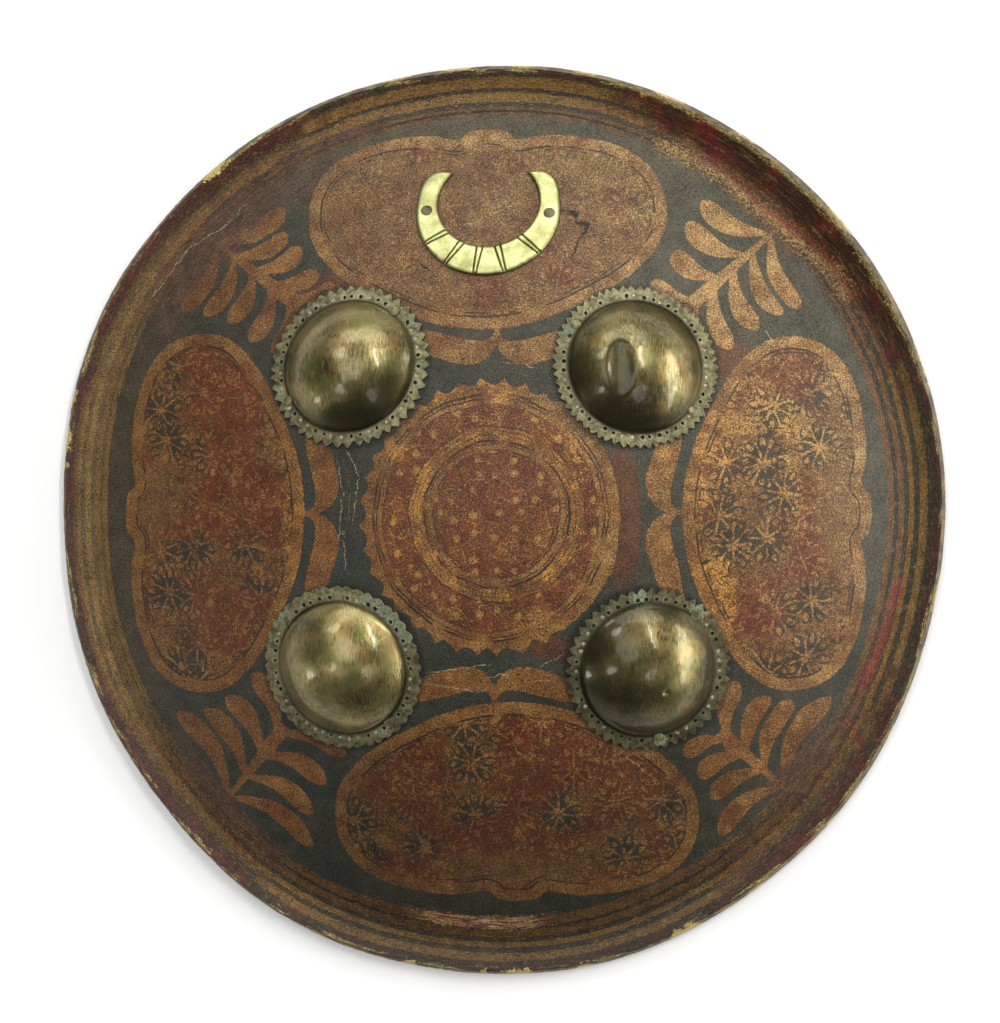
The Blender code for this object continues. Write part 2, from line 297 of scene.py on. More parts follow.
def arithmetic(operation, turned=False):
    """A method that joins a wire and another value, or the two turned round, by a Math node."""

    def method(wire, other):
        a, b = (other, wire) if turned else (wire, other)
        return wire.nodes.math(operation, a, b)

    return method


for sign, operation in (("add", "ADD"), ("sub", "SUBTRACT"), ("mul", "MULTIPLY"), ("truediv", "DIVIDE")):
    setattr(Wire, f"__{sign}__", arithmetic(operation))
    setattr(Wire, f"__r{sign}__", arithmetic(operation, True))


class Nodes:
    """Makes and joins the nodes of a tree. A value may be a number, a colour or a wire."""

    def __init__(self, tree):
        self.tree = tree

    def feed(self, socket, value):
        if isinstance(value, Wire):
            self.tree.links.new(value.socket, socket)
        else:
            socket.default_value = value

    def add(self, kind, inputs, **settings):
        node = self.tree.nodes.new(f"ShaderNode{kind}")
        for name, value in settings.items():
            setattr(node, name, value)
        for name, value in inputs.items():
            self.feed(node.inputs[name], value)
        return node

    def wire(self, kind, inputs, output=0, **settings):
        """Adds a node and returns one of its outputs."""
        return Wire(self, self.add(kind, inputs, **settings).outputs[output])

    def wires(self, node):
        """The outputs of a node by name."""
        return {socket.name: Wire(self, socket) for socket in node.outputs}

    def math(self, operation, *values, clamp=False):
        return self.wire("Math", dict(enumerate(values)), operation=operation, use_clamp=clamp)

    def most(self, a, b):
        return self.math("MAXIMUM", a, b)

    def blend(self, mask, a, b):
        """The value a where the mask is 0 and b where it is 1."""
        return a + mask * self.math("SUBTRACT", b, a)

    def mix(self, mask, a, b, blend="MIX"):
        """The colour a where the mask is 0 and b where it is 1."""
        settings = {"data_type": "RGBA", "blend_type": blend, "clamp_factor": True}
        return self.wire("Mix", {0: mask, 6: a, 7: b}, 2, **settings)

    def shaded(self, colour, shade):
        """The colour made lighter or darker by a value round 1."""
        return self.mix(1.0, colour, self.join(shade, shade, shade), "MULTIPLY")

    def noise(self, vector, scale, detail=2.0, rough=0.5):
        given = {"Vector": vector, "Scale": scale, "Detail": detail, "Roughness": rough}
        return self.wire("TexNoise", given, "Fac")

    def uneven(self, vector, scale, detail=2.0, rough=0.5):
        """Noise that wanders either side of zero."""
        return self.noise(vector, scale, detail, rough) - 0.5

    def wandered(self, start, vector, scale, size, detail=1.0):
        """The place `start` moved by noise of `vector`, by about `size` either way."""
        given = {"Vector": vector, "Scale": scale, "Detail": detail}
        middle = self.vector("SUBTRACT", self.wire("TexNoise", given, "Color"), (0.5, 0.5, 0.5))
        return self.vector("ADD", start, self.scale(middle, 2 * size))

    def cells(self, vector, randomness):
        """Cells of about one unit, each round its own middle."""
        given = {"Vector": vector, "Scale": 1.0, "Randomness": randomness}
        return self.wires(self.add("TexVoronoi", given, voronoi_dimensions="2D"))

    def vector(self, operation, *values):
        output = "Value" if operation == "LENGTH" else "Vector"
        return self.wire("VectorMath", dict(enumerate(values)), output, operation=operation)

    def scale(self, vector, size):
        return self.wire("VectorMath", {0: vector, "Scale": size}, "Vector", operation="SCALE")

    def length(self, x, y):
        return self.math("SQRT", x * x + y * y)

    def split(self, vector):
        return self.wires(self.add("SeparateXYZ", {"Vector": vector})).values()

    def join(self, x, y, z=0.0):
        return self.wire("CombineXYZ", {"X": x, "Y": y, "Z": z})

    def attribute(self, name):
        return self.wire("Attribute", {}, "Fac", attribute_name=name)

    def group(self, name, **inputs):
        """A shared node group placed in this tree, as its outputs by name."""
        if name not in SHARED:
            SHARED[name] = GROUP_MAKERS[name]()
        return self.wires(self.add("Group", inputs, node_tree=SHARED[name]))

    def bump(self, height, distance, strength=0.8):
        given = {"Height": height, "Distance": distance, "Strength": strength}
        return self.wire("Bump", given, "Normal")


class MaterialNodes(Nodes):
    """The nodes of a material with one Principled shader, and the place on the object in mm."""

    def __init__(self, name):
        self.material = bpy.data.materials.new(name)
        self.material.use_nodes = True
        super().__init__(self.material.node_tree)
        self.shader = self.tree.nodes["Principled BSDF"]
        self.place = self.scale(self.wire("TexCoord", {}, "Object"), 1000.0)

    def finish(self, **values):
        """Joins or sets the shader's own sockets by name, and returns the material."""
        for name, value in values.items():
            self.feed(self.shader.inputs[name.replace("_", " ")], value)
        return self.material


class GroupNodes(Nodes):
    """The inside of a shared node group: a place and some amounts go in, and values come out."""

    def __init__(self, name, amounts, outputs):
        super().__init__(bpy.data.node_groups.new(name, "ShaderNodeTree"))
        sockets = self.tree.interface
        sockets.new_socket("Place", in_out="INPUT", socket_type="NodeSocketVector")
        for label, default in amounts.items():
            made = sockets.new_socket(label, in_out="INPUT", socket_type="NodeSocketFloat")
            made.default_value = default
        for label in outputs:
            sockets.new_socket(label, in_out="OUTPUT", socket_type="NodeSocketFloat")
        self.given = self.wires(self.tree.nodes.new("NodeGroupInput"))
        self.place = self.given["Place"]
        self.ends = self.tree.nodes.new("NodeGroupOutput").inputs

    def finish(self, **values):
        """Joins the group's outputs by name, and returns the group."""
        for name, value in values.items():
            self.feed(self.ends[name], value)
        return self.tree


def speckle_group():
    """Fine speckle of old varnish: a value round 1 for the colour, and a height."""
    nodes = GroupNodes("speckle", {"Amount": 0.3}, ("Shade", "Height"))
    fine = nodes.noise(nodes.place, 1.5, 1.5, 0.8)
    both = fine - 0.5 + nodes.uneven(nodes.place, 0.11, 3.0, 0.6) * 0.3
    return nodes.finish(Shade=0.97 + both * (nodes.given["Amount"] * 2.4), Height=fine)


def gold_dust_group():
    """Gold dust strewn on lacquer: more of it where the density is higher."""
    nodes = GroupNodes("gold_dust", {"Density": 0.5}, ("Dust",))
    grains = nodes.noise(nodes.place, 1.15, 3.0, 0.85)
    start = 0.7 - nodes.given["Density"] * 0.42
    return nodes.finish(Dust=(grains - start).step(-0.1, 0.1))


def scrollwork_group():
    """Rosettes of dark pointed petals, each with a bud in its outer end, between thin spokes."""
    nodes = GroupNodes("scrollwork", {"Cell": 26.0, "Petals": 6.0}, ("Petal", "Bud", "Line"))
    cell, petals = nodes.given["Cell"], nodes.given["Petals"]
    spot = nodes.scale(nodes.place, 1.0 / cell)
    near = nodes.cells(spot, 0.7)
    _, turn, _ = nodes.split(near["Color"])
    x, y, _ = nodes.split(nodes.vector("SUBTRACT", spot, near["Position"]))
    far = nodes.length(x, y)
    angle = nodes.math("ARCTAN2", y, x) + turn * math.tau
    share = angle * (petals / math.tau)
    aside = abs(nodes.math("FRACT", share) - 0.5)
    sector = far * math.tau / petals
    along = (far - 0.09) * 2.5
    swell = nodes.math("SQRT", nodes.most(1.0 - along, 0.0))
    half = along * swell * (2.15 / petals)
    depth = (half - aside * sector) * cell
    from_spoke = (0.5 - aside) * sector * cell
    spoke = from_spoke.step(0.8, 0.3) * far.step(0.5, 0.4)
    hub = far.step(0.09, 0.05)
    return nodes.finish(
        Petal=depth.step(-0.2, 0.4) * nodes.noise(nodes.place, 0.13, 2.0).step(0.36, 0.44),
        Bud=depth.step(0.9, 1.7) * along.step(0.45, 0.6),
        Line=nodes.most(spoke, hub),
    )


def brass_age_group():
    """Age of brass: blotches of tarnish, fine brushed scratches and small pits."""
    nodes = GroupNodes("brass_age", {"Brushed": 0.5}, ("Tarnish", "Scratch", "Pit"))
    place = nodes.place
    blotch = nodes.noise(place, 0.075, 4.0, 0.62)
    x, y, z = nodes.split(nodes.wandered(place, place, 0.06, 2.5))
    one = nodes.noise(nodes.join(x * 1.5, y * 0.14, z * 0.5), 1.3, 3.0, 0.65)
    two = nodes.noise(nodes.join(x * 0.25, y * 1.9, z * 0.9), 1.0, 2.0, 0.6)
    return nodes.finish(
        Tarnish=(blotch + (one - 0.5) * nodes.given["Brushed"]).step(0.38, 0.66),
        Scratch=one * 0.7 + two * 0.3,
        Pit=nodes.noise(place, 0.9, 2.0, 0.5).step(0.66, 0.74),
    )


GROUP_MAKERS = {
    "speckle": speckle_group,
    "gold_dust": gold_dust_group,
    "scrollwork": scrollwork_group,
    "brass_age": brass_age_group,
}
SHARED = {}


# ---- the painting -------------------------------------------------------------------------------

# Half the outline of a cartouche: across as a share of its half-length, out as a share of its depth.
CARTOUCHE_HALF = (
    (0.0, 0.0), (0.19, 0.015), (0.38, 0.062), (0.56, 0.135), (0.73, 0.218), (0.87, 0.32), (0.97, 0.44),
    (1.0, 0.57), (0.975, 0.71), (0.87, 0.84), (0.69, 0.925), (0.48, 0.962), (0.30, 0.965),
    (0.165, 0.945), (0.11, 0.985), (0.0, 1.0),
)
# Direction in degrees, inner and outer distance from the middle, half-length, shift to the left
# as seen from outside, and the shift of its pair of curled leaves, in mm.
CARTOUCHES = (
    (90, 92.0, 195.5, 89.0, 4.5, -3.0), (180, 90.3, 188.0, 89.5, -3.6, -3.5),
    (270, 87.0, 189.8, 90.0, 10.35, 2.0), (0, 91.8, 185.5, 87.0, 3.6, 4.0),
)
# A pair of curled leaves hangs from each cartouche's inner point. Their middle line, across and
# in from that point, and their half-width, in mm.
CURLED_LEAF = (
    (0.4, -1.2, 0.9), (0.9, 3.0, 1.2), (3.4, 7.4, 3.2), (8.2, 10.3, 5.4), (14.2, 11.0, 6.3),
    (20.5, 9.5, 6.4), (27.0, 7.6, 6.2), (33.5, 5.8, 5.8), (40.0, 4.0, 4.6), (45.5, 3.0, 1.6),
)
# Fronds, in mm: outer and inner end of the stem, then the tips of the leaflets on each side.
FRONDS = (
    (
        ((-144, 141), (-95, 105)),
        ((-106, 156), (-104, 143), (-96, 135), (-86, 122), (-78, 116)),
        ((-159, 105), (-146, 102), (-133, 98), (-121, 88), (-108, 81)),
    ),
    (
        ((138, 144), (93, 102)),
        ((101, 158), (94, 147), (87, 132), (77, 117)),
        ((150, 104), (141, 101), (129, 93), (116, 83), (103, 82)),
    ),
    (
        ((-137, -141), (-103, -101)),
        ((-161, -96), (-146, -94), (-134, -87), (-119, -75)),
        ((-92, -163), (-91, -146), (-83, -130), (-72, -115)),
    ),
    (
        ((143, -133), (110, -103)),
        ((165, -87), (146, -88), (135, -86), (119, -78)),
        ((110, -156), (106, -137), (100, -126), (93, -115)),
    ),
)
LEAFLET_GAP = 2.2
# Oval patches of the painting, in mm: middle and half-sizes.
MAROON_PATCHES = (
    (96, 84, 15, 12), (63, 2, 10, 36), (-72, 118, 14, 9), (70, 48, 9, 10), (-84, 96, 10, 8),
    (-22, 84, 14, 6), (118, 76, 13, 12), (-88, 112, 12, 9), (30, -61, 12, 6),
)
DARK_ZONES = (
    (-166, 60, 13, 24), (-159, 30, 14, 22), (-102, 39, 14, 18), (-150, -18, 20, 11),
    (-116, -22, 20, 15), (-164, -50, 14, 26), (-146, -73, 22, 9), (142, 39, 26, 24),
    (168, 59, 14, 26), (120, -14, 26, 18), (160, -50, 20, 24), (136, -68, 24, 12),
    (128, 14, 22, 18), (-58, -156, 32, 14), (-72, -142, 14, 12), (-10, -112, 14, 18),
    (-14, -141, 18, 9), (38, -142, 14, 12), (60, -158, 18, 13), (87, -145, 10, 14),
    (-66, 176, 20, 7), (44, 172, 28, 11), (-2, 150, 16, 8), (76, 160, 9, 16),
)
GOLD_ZONES = (
    (118, 56, 26, 28), (103, 34, 16, 24), (105, -38, 14, 24), (-94, 8, 9, 34), (-40, 0, 8, 30),
    (28, 34, 14, 10), (-20, 62, 30, 6), (-100, -40, 8, 16), (150, 34, 10, 30),
)
FADED_ZONES = (
    (-174, 8, 13, 22), (170, 4, 15, 26), (12, -173, 34, 10), (-36, 114, 36, 15),
    (62, 127, 26, 15), (10, 188, 30, 10), (-80, 132, 20, 20), (30, 106, 30, 10), (-20, 180, 20, 8),
    (-44, 152, 30, 26), (40, 146, 26, 18), (-4, 160, 26, 22), (82, 150, 14, 26), (-80, 160, 14, 20),
    (46, 174, 34, 14), (-60, 176, 28, 10), (0, 130, 40, 14),
)


def smooth_path(points, steps):
    """A curve through the points, with steps in each stretch."""
    p = np.asarray(points, float)
    p = np.vstack([2 * p[0] - p[1], p, 2 * p[-1] - p[-2]])
    out = []
    for i in range(1, len(p) - 2):
        for t in np.arange(steps) / steps:
            a = 2 * p[i]
            b = (p[i + 1] - p[i - 1]) * t
            c = (2 * p[i - 1] - 5 * p[i] + 4 * p[i + 1] - p[i + 2]) * t**2
            d = (-p[i - 1] + 3 * p[i] - 3 * p[i + 1] + p[i + 2]) * t**3
            out.append((a + b + c + d) / 2)
    out.append(p[-2])
    return np.array(out)


def inside_depth(spots, outline):
    """How far each spot is inside a closed outline; outside is negative."""
    best = np.full(len(spots), np.inf)
    inside = np.zeros(len(spots), bool)
    ends = np.roll(outline, -1, axis=0)
    for (ax, ay), (bx, by) in zip(outline, ends):
        dx, dy = bx - ax, by - ay
        px, py = spots[:, 0] - ax, spots[:, 1] - ay
        along = np.clip((px * dx + py * dy) / (dx * dx + dy * dy + 1e-12), 0, 1)
        best = np.minimum(best, np.hypot(px - along * dx, py - along * dy))
        if ay != by:
            crosses = (ay > spots[:, 1]) != (by > spots[:, 1])
            inside ^= crosses & (px < dx * (spots[:, 1] - ay) / dy)
    return np.where(inside, best, -best)


def add_shape(field, spots, outline, margin=9.0):
    """Raises the field to the depth inside one more outline."""
    low, high = outline.min(0) - margin, outline.max(0) + margin
    near = np.all((spots > low) & (spots < high), axis=1)
    field[near] = np.maximum(field[near], inside_depth(spots[near], outline))


def cartouche_outlines():
    half = smooth_path(CARTOUCHE_HALF, 6)
    for direction, inner, outer, length, shift, _ in CARTOUCHES:
        out = toward(direction)
        left = np.array([-out[1], out[0]])
        across = np.concatenate([half[:, 0], -half[-2:0:-1, 0]])
        depth = np.concatenate([half[:, 1], half[-2:0:-1, 1]])
        line = np.outer(inner + depth * (outer - inner), out)
        yield line + np.outer(across * length + shift, left)


def ribbon(path, widths):
    """The outline of a leaf round its middle line."""
    way = np.gradient(path, axis=0)
    way /= np.linalg.norm(way, axis=1, keepdims=True) + 1e-9
    side = np.stack([-way[:, 1], way[:, 0]], 1) * widths[:, None]
    return np.vstack([path + side, (path - side)[::-1]])


def curled_leaf_outlines():
    line = smooth_path(CURLED_LEAF, 4)
    for direction, inner, _, _, _, shift in CARTOUCHES:
        out = toward(direction)
        left = np.array([-out[1], out[0]])
        for side in (-1, 1):
            path = out * inner + left * shift
            path = path - np.outer(line[:, 1], out) + np.outer(side * line[:, 0], left)
            yield ribbon(path, line[:, 2])


def leaflet(base, tip, lean, width):
    """One leaflet: it leaves the stem along `lean`, is fullest past its middle and hooks back."""
    t = np.linspace(0, 1, 17)
    length = np.linalg.norm(tip - base)
    away = np.sin(t * math.pi) ** 1.1 * (1 - 0.35 * t) * 0.17 * length
    away = away - 0.05 * length * np.clip(t - 0.75, 0, 1)
    curve = base + np.outer(t, tip - base) + np.outer(away, lean)
    widths = width * np.sin(math.pi * np.minimum(t**1.9, 0.985)) ** 0.55 + 1.0 * (1 - t)
    return ribbon(curve, widths)


def frond_outlines():
    """The stems and the leaflets of the fronds."""
    stems, leaflets = [], []
    for (outer, inner), *sides in FRONDS:
        outer, inner = np.array(outer, float), np.array(inner, float)
        lean = (inner - outer) / np.linalg.norm(inner - outer)
        stem = np.linspace(outer - 2 * lean, inner, 9)
        stems.append(ribbon(stem, np.linspace(1.0, 4.2, 9)))
        for tips, fullest in zip(sides, (5.5, 4.9)):
            for i, tip in enumerate(tips):
                base = outer + (inner - outer) * (0.04 + 0.84 * i / (len(tips) - 1))
                tip = np.array(tip, float)
                width = min(fullest, 0.19 * np.linalg.norm(tip - base))
                leaflets.append(leaflet(base, tip, lean, width))
    return stems, leaflets


def leaf_depth(spots):
    """How deep each spot is in a leaf. A dark gap stays between the leaflets of a frond."""
    stems, leaflets = frond_outlines()
    leaf, nearest, second = np.full((3, len(spots)), -6.0)
    for outline in [*curled_leaf_outlines(), *stems]:
        add_shape(leaf, spots, outline, 6.0)
    for outline in leaflets:
        depth = np.full(len(spots), -6.0)
        add_shape(depth, spots, outline, 6.0)
        second = np.maximum(second, np.minimum(nearest, depth))
        nearest = np.maximum(nearest, depth)
    return np.maximum(leaf, np.minimum(nearest, nearest - second - LEAFLET_GAP))


def oval(spots, x, y, half_x, half_y):
    """0 in the middle of an oval, 1 at its edge and more beyond."""
    return np.hypot((spots[:, 0] - x) / half_x, (spots[:, 1] - y) / half_y)


# ---- wear of the hide ---------------------------------------------------------------------------

# Chips in the edge: direction and half-spread in degrees, reach inwards in mm.
CHIPS = (
    (129.2, 3.2, 5.2), (120.0, 3.0, 2.2), (140.5, 2.0, 2.0), (151.0, 1.4, 1.8), (164.0, 2.4, 3.0),
    (169.4, 3.4, 4.0), (172.8, 1.2, 3.2), (176.5, 1.0, 2.2), (183.0, 2.6, 1.6), (246.0, 4.0, 2.6),
    (258.6, 1.8, 3.8), (262.8, 0.8, 3.2), (268.2, 0.7, 5.4), (272.6, 3.2, 4.2), (281.0, 2.2, 3.0),
    (294.6, 3.4, 4.6), (305.0, 2.0, 2.0), (318.0, 1.6, 2.2), (332.0, 2.0, 1.8), (103.0, 4.0, 2.4),
    (95.0, 4.0, 2.8), (87.0, 3.0, 2.4), (79.0, 3.0, 2.6), (68.0, 3.6, 3.0), (57.0, 3.0, 2.4),
    (41.0, 5.0, 2.2), (20.0, 6.0, 2.0), (4.0, 3.0, 1.8), (350.0, 5.0, 2.0),
)
# Rubbed places along the rim: direction, half-spread in degrees, inset and its half-spread in mm.
PALE_RUBS = ((267.6, 8.6, 27.0, 3.6),)
WORN = ((132, 24, 31, 16), (322, 10, 30, 12), (227, 13, 27, 7), (48, 8, 27, 6), (112, 8, 21, 4))
# Where the stripes are worn together: direction and spread in degrees.
MUDDLED = ((137, 30), (50, 30), (222, 22), (318, 20))
# Creases of the hide, in mm: red lacquer shows along the first ones, pale hide along the rest.
RED_CREASES = (
    (((101, 196), (107, 188), (110, 180)), 5.0),
    (((101, 180), (114, 174), (123, 165), (134, 154), (150, 143), (164, 130), (173, 116), (178, 109)), 2.6),
    (((200, -31), (196, -41), (194, -51), (190, -63), (185, -73), (181, -83)), 3.4),
    (((172, -99), (178, -105), (182, -112)), 1.6),
)
PALE_CREASES = (
    (((82, 187), (98, 180), (112, 172), (123, 162), (138, 150), (153, 136), (168, 124), (174, 112)), 5.2),
)
# Cracks in the lacquer, in mm: from x, y to x, y.
CRACKS = (
    (31.8, 152.3, 36, 151.8), (36, 151.8, 40.1, 150.8), (40.1, 150.8, 40.6, 148.2),
    (37, 147.0, 45.1, 145.1), (45.1, 145.1, 46.1, 141.6), (46, 143, 41.3, 136.9),
    (41.3, 136.9, 38.6, 127.8), (-36, 126, -31, 122),
)
# Places where the lacquer has broken away, in mm: middle and half-sizes.
GOUGES = (
    (38.8, 151.0, 2.2, 1.0), (40.4, 149.0, 0.9, 1.3),
    (43.4, 145.4, 2.8, 1.1), (45.6, 143.2, 1.1, 1.8),
)
# Pale hairlines, in mm.
SCRATCHES = (
    (-128, 159, -134, 151), (-134, 151, -157, 137), (-157, 137, -176, 113), (-29, -73, -1, -69),
    (0, -75, 9, -73), (25, -69, 34, -65), (-29, -79, -4, -82), (21, -77, 32, -77), (-74, 28, -71, 14),
    (-71, 14, -73, -8), (-69, 34, -63, 21), (-63, 21, -66, 0), (-70, -5, -70, -23), (7, 76, 21, 74),
    (-17, 143, 12, 156), (-9, 131, 12, 127), (133, 93, 136, 88), (62, -112, 76, -124),
)


# How far a boss shades the lacquer from its middle, in mm.
FLANGE_REACH = 39.0


def nearest_line(spots, lines, reach=5.0):
    """Distance to the side of the nearest short line, with a sign, and 1 along its length."""
    side = np.full(len(spots), 9.0)
    along = np.zeros(len(spots))
    closest = np.full(len(spots), np.inf)
    for ax, ay, bx, by in lines:
        start, way = np.array([ax, ay]), np.array([bx - ax, by - ay])
        length = np.linalg.norm(way)
        way = way / length
        t = (spots - start) @ way
        s = (spots - start) @ np.array([-way[1], way[0]])
        far = np.hypot(s, np.maximum(np.maximum(-t, t - length), 0))
        near = (far < reach) & (far < closest)
        closest[near] = far[near]
        side[near] = s[near]
        ends = np.minimum(t, length - t)
        along[near] = np.clip(ends[near] / 3 + 0.6, 0, 1)
    return side, along


def spread_round(angle, direction, half):
    return 1 - np.abs(np.degrees(turn_between(angle, direction))) / half


def crease_share(spots, creases):
    """1 on the middle of a crease, 0 at its side and negative beyond."""
    share = np.full(len(spots), -2.0)
    for path, half in creases:
        lines = [(*a, *b) for a, b in zip(path, path[1:])]
        for ax, ay, bx, by in lines:
            way = np.array([bx - ax, by - ay], float)
            t = np.clip((spots - (ax, ay)) @ way / (way @ way), 0, 1)
            away = np.linalg.norm(spots - (ax, ay) - t[:, None] * way, axis=1)
            share = np.maximum(share, 1 - away / half)
    return share


def stripe_number(inset, angle):
    """Which stripe a spot is in, counted from the edge inwards, with its share of the stripe."""
    directions = np.radians([0, 90, 180, 270])
    weights = np.maximum(np.cos(angle[:, None] - directions), 0) ** 2
    ends = weights @ np.array(STRIPE_ENDS)
    starts = np.hstack([np.zeros((len(ends), 1)), ends[:, :-1]])
    shares = np.clip((inset[:, None] - starts) / (ends - starts), 0, 1)
    return shares.sum(1) + np.maximum(inset - ends[:, -1], 0) / 3


def hide_fields(x, y):
    """The painting's and the wear's layout at each point of the hide, in mm or as shares."""
    spots = np.stack([x, y], 1) * 1000
    angle = np.arctan2(y, x)
    inset = (rim_radius(angle) - np.hypot(x, y)) * 1000
    cartouche = np.full(len(x), -12.0)
    for outline in cartouche_outlines():
        add_shape(cartouche, spots, outline, 12.0)
    zones = {}
    for label, places in (
        ("filler", MAROON_PATCHES),
        ("dark_zone", DARK_ZONES),
        ("gold_zone", GOLD_ZONES),
        ("faded_zone", FADED_ZONES),
        ("gouge", GOUGES),
    ):
        zone = np.full(len(x), -2.0)
        for place in places:
            zone = np.maximum(zone, 1 - oval(spots, *place))
        zones[label] = zone
    chip = np.full(len(x), -1.0)
    for direction, half, reach in CHIPS:
        wide = np.minimum(spread_round(angle, direction, half) * 1.5, 1)
        chip = np.maximum(chip, wide - inset / reach)
    rubs = []
    for places in (WORN, PALE_RUBS):
        rub = np.full(len(x), -1.0)
        for direction, half, middle, wide in places:
            across = 1 - np.abs(inset - middle) / wide
            rub = np.maximum(rub, np.minimum(spread_round(angle, direction, half), across))
        rubs.append(rub)
    muddle = sum(np.exp(-((np.degrees(turn_between(angle, d)) / s) ** 2)) for d, s in MUDDLED)
    crack, crack_on = nearest_line(spots, CRACKS)
    scratch, scratch_on = nearest_line(spots, SCRATCHES)
    metal = np.full(len(x), 20.0)
    for name in BOSSES:
        middle = middle_of(f"boss_{name}")
        metal = np.minimum(metal, np.hypot(x - middle[0], y - middle[1]) * 1000 - FLANGE_REACH)
    return {
        "inset": inset,
        "stripe": stripe_number(inset, angle),
        "cartouche": cartouche,
        "leaf": leaf_depth(spots),
        **zones,
        "chip": chip,
        "worn": rubs[0],
        "pale_rub": rubs[1],
        "red_crease": crease_share(spots, RED_CREASES),
        "pale_crease": crease_share(spots, PALE_CREASES),
        "muddle": np.clip(muddle, 0, 1),
        "bent": bent_share(angle),
        "crack": crack,
        "crack_on": crack_on,
        "scratch": scratch,
        "scratch_on": scratch_on,
        "from_metal": metal,
    }


# ---- materials of the hide ----------------------------------------------------------------------

# Where each stripe ends, in mm from the edge, to the right, the top, the left and the bottom.
STRIPE_ENDS = (
    (2.6, 9.6, 13.1, 16.0, 18.5, 20.8, 24.0, 26.0, 29.6),
    (0.8, 6.4, 11.9, 13.4, 18.6, 21.4, 22.9, 24.0, 25.4),
    (0.9, 6.0, 10.2, 11.5, 15.2, 17.0, 20.5, 21.3, 24.2),
    (1.2, 7.5, 11.4, 14.0, 16.8, 19.2, 23.3, 24.1, 30.2),
)
STRIPES = ("edge", "slate", "gold", "slate", "gold", "slate", "orange", "dark", "orange")
OLD_STRIPES = ("old_edge", "maroon", "wine", "olive", "ochre", "plum", "brown", "plum", "umber")


def stripe_colours(nodes, stripe, order):
    """The stripes as a colour ramp over their number."""
    colours = {
        "edge": srgb(70, 64, 50),
        "slate": srgb(45, 41, 29),
        "gold": srgb(108, 80, 36),
        "orange": srgb(86, 58, 28),
        "dark": srgb(32, 28, 21),
        "old_edge": srgb(48, 34, 28),
        "maroon": srgb(62, 27, 18),
        "wine": srgb(56, 30, 19),
        "olive": srgb(72, 58, 28),
        "ochre": srgb(92, 62, 26),
        "plum": srgb(54, 36, 26),
        "brown": srgb(78, 54, 28),
        "umber": srgb(66, 50, 32),
    }
    ramp = nodes.add("ValToRGB", {"Fac": stripe / 9.0})
    stops = ramp.color_ramp.elements
    for _ in range(2 * len(order) - 2):
        stops.new(0.5)
    for i, name in enumerate(order):
        for stop, share in ((stops[2 * i], 0.07), (stops[2 * i + 1], 0.93)):
            stop.position = (i + share) / 9
            stop.color = colours[name]
    return nodes.wires(ramp)["Color"]


DARK_LACQUER = srgb(28, 25, 19)


class PaintedNodes(MaterialNodes):
    """The painted hide's nodes. Each layer has a lacquer colour and a density of gold dust."""

    def __init__(self, paint):
        super().__init__("painted_hide")
        self.x, self.y, _ = self.split(self.place)
        self.flat = flat = self.join(self.x, self.y)
        self.hand = self.wandered(self.wandered(flat, flat, 0.055, 2.0, 2.0), flat, 0.38, 0.5, 2.0)
        self.ragged = self.uneven(flat, 0.7, 3.0, 0.6)
        self.patchy = self.noise(flat, 0.05, 3.0, 0.6)
        self.lively = self.patchy - 0.5
        self.cloudy = self.lively + self.uneven(flat, 0.14, 3.0, 0.6) * 0.8
        # Rises towards the top right, where the lacquer is painted paler and its gold dust glints more:
        # painted sheen.
        self.painted_sheen = (self.x * 0.003 + self.y * 0.0042 + self.cloudy * 0.15).step(-0.1, 0.95)
        broad = self.noise(flat, 0.018, 3.0, 0.55)
        self.russet = self.mix(broad.step(0.4, 0.6), paint.orange, srgb(86, 54, 26))
        self.maroon = self.mix(self.patchy.step(0.3, 0.7), paint.maroon, srgb(84, 44, 20))
        self.colour = self.mix(broad.step(0.4, 0.62), paint.field, srgb(49, 48, 39))
        self.density = 0.0
        # Along the rim: streaks that run round it.
        self.inset = self.attribute("inset")
        self.round_rim = self.math("ARCTAN2", self.y, self.x)
        self.lengthwise = self.join(self.round_rim * 22.0, self.inset * 0.9)
        self.streak = self.noise(self.lengthwise, 1.0, 3.0, 0.65)
        self.fine = self.noise(self.join(self.round_rim * 60.0, self.inset * 2.6), 1.0, 2.0, 0.6)

    def lay(self, mask, colour, density):
        """Adds a layer where the mask is 1."""
        self.colour = self.colour.mix(mask, colour)
        self.density = self.blend(mask, self.density, density)

    def zone(self, name, soft=0.3):
        """A broad area with a ragged edge."""
        return (self.attribute(name) + self.cloudy * 1.5).step(-soft, soft)


def lay_leaves(nodes, paint):
    """The dark ground with its earthy side and a painted sheen towards the top right, the maroon fillers
    and the leaves.
    """
    # A pale film towards the top right: painted sheen.
    nodes.colour = nodes.colour.mix(nodes.painted_sheen * 0.05, srgb(126, 128, 106))
    earthy = (nodes.inset + nodes.cloudy * 30.0).step(52.0, 30.0)
    earthy *= (nodes.x - nodes.y * 0.6).step(0.0, -150.0)
    nodes.colour = nodes.colour.mix(earthy * 0.3, srgb(84, 66, 46))
    filler = nodes.attribute("filler") + nodes.ragged * 0.25
    nodes.lay(filler.step(-0.1, 0.25) * 0.85, nodes.mix(0.25, nodes.maroon, paint.field), 0.14)
    leaf = nodes.attribute("leaf") + nodes.ragged * 0.8
    even = 0.35 + nodes.painted_sheen * 0.16 + nodes.cloudy * 0.9
    nodes.lay(leaf.step(-0.15, 0.35), nodes.russet, even)


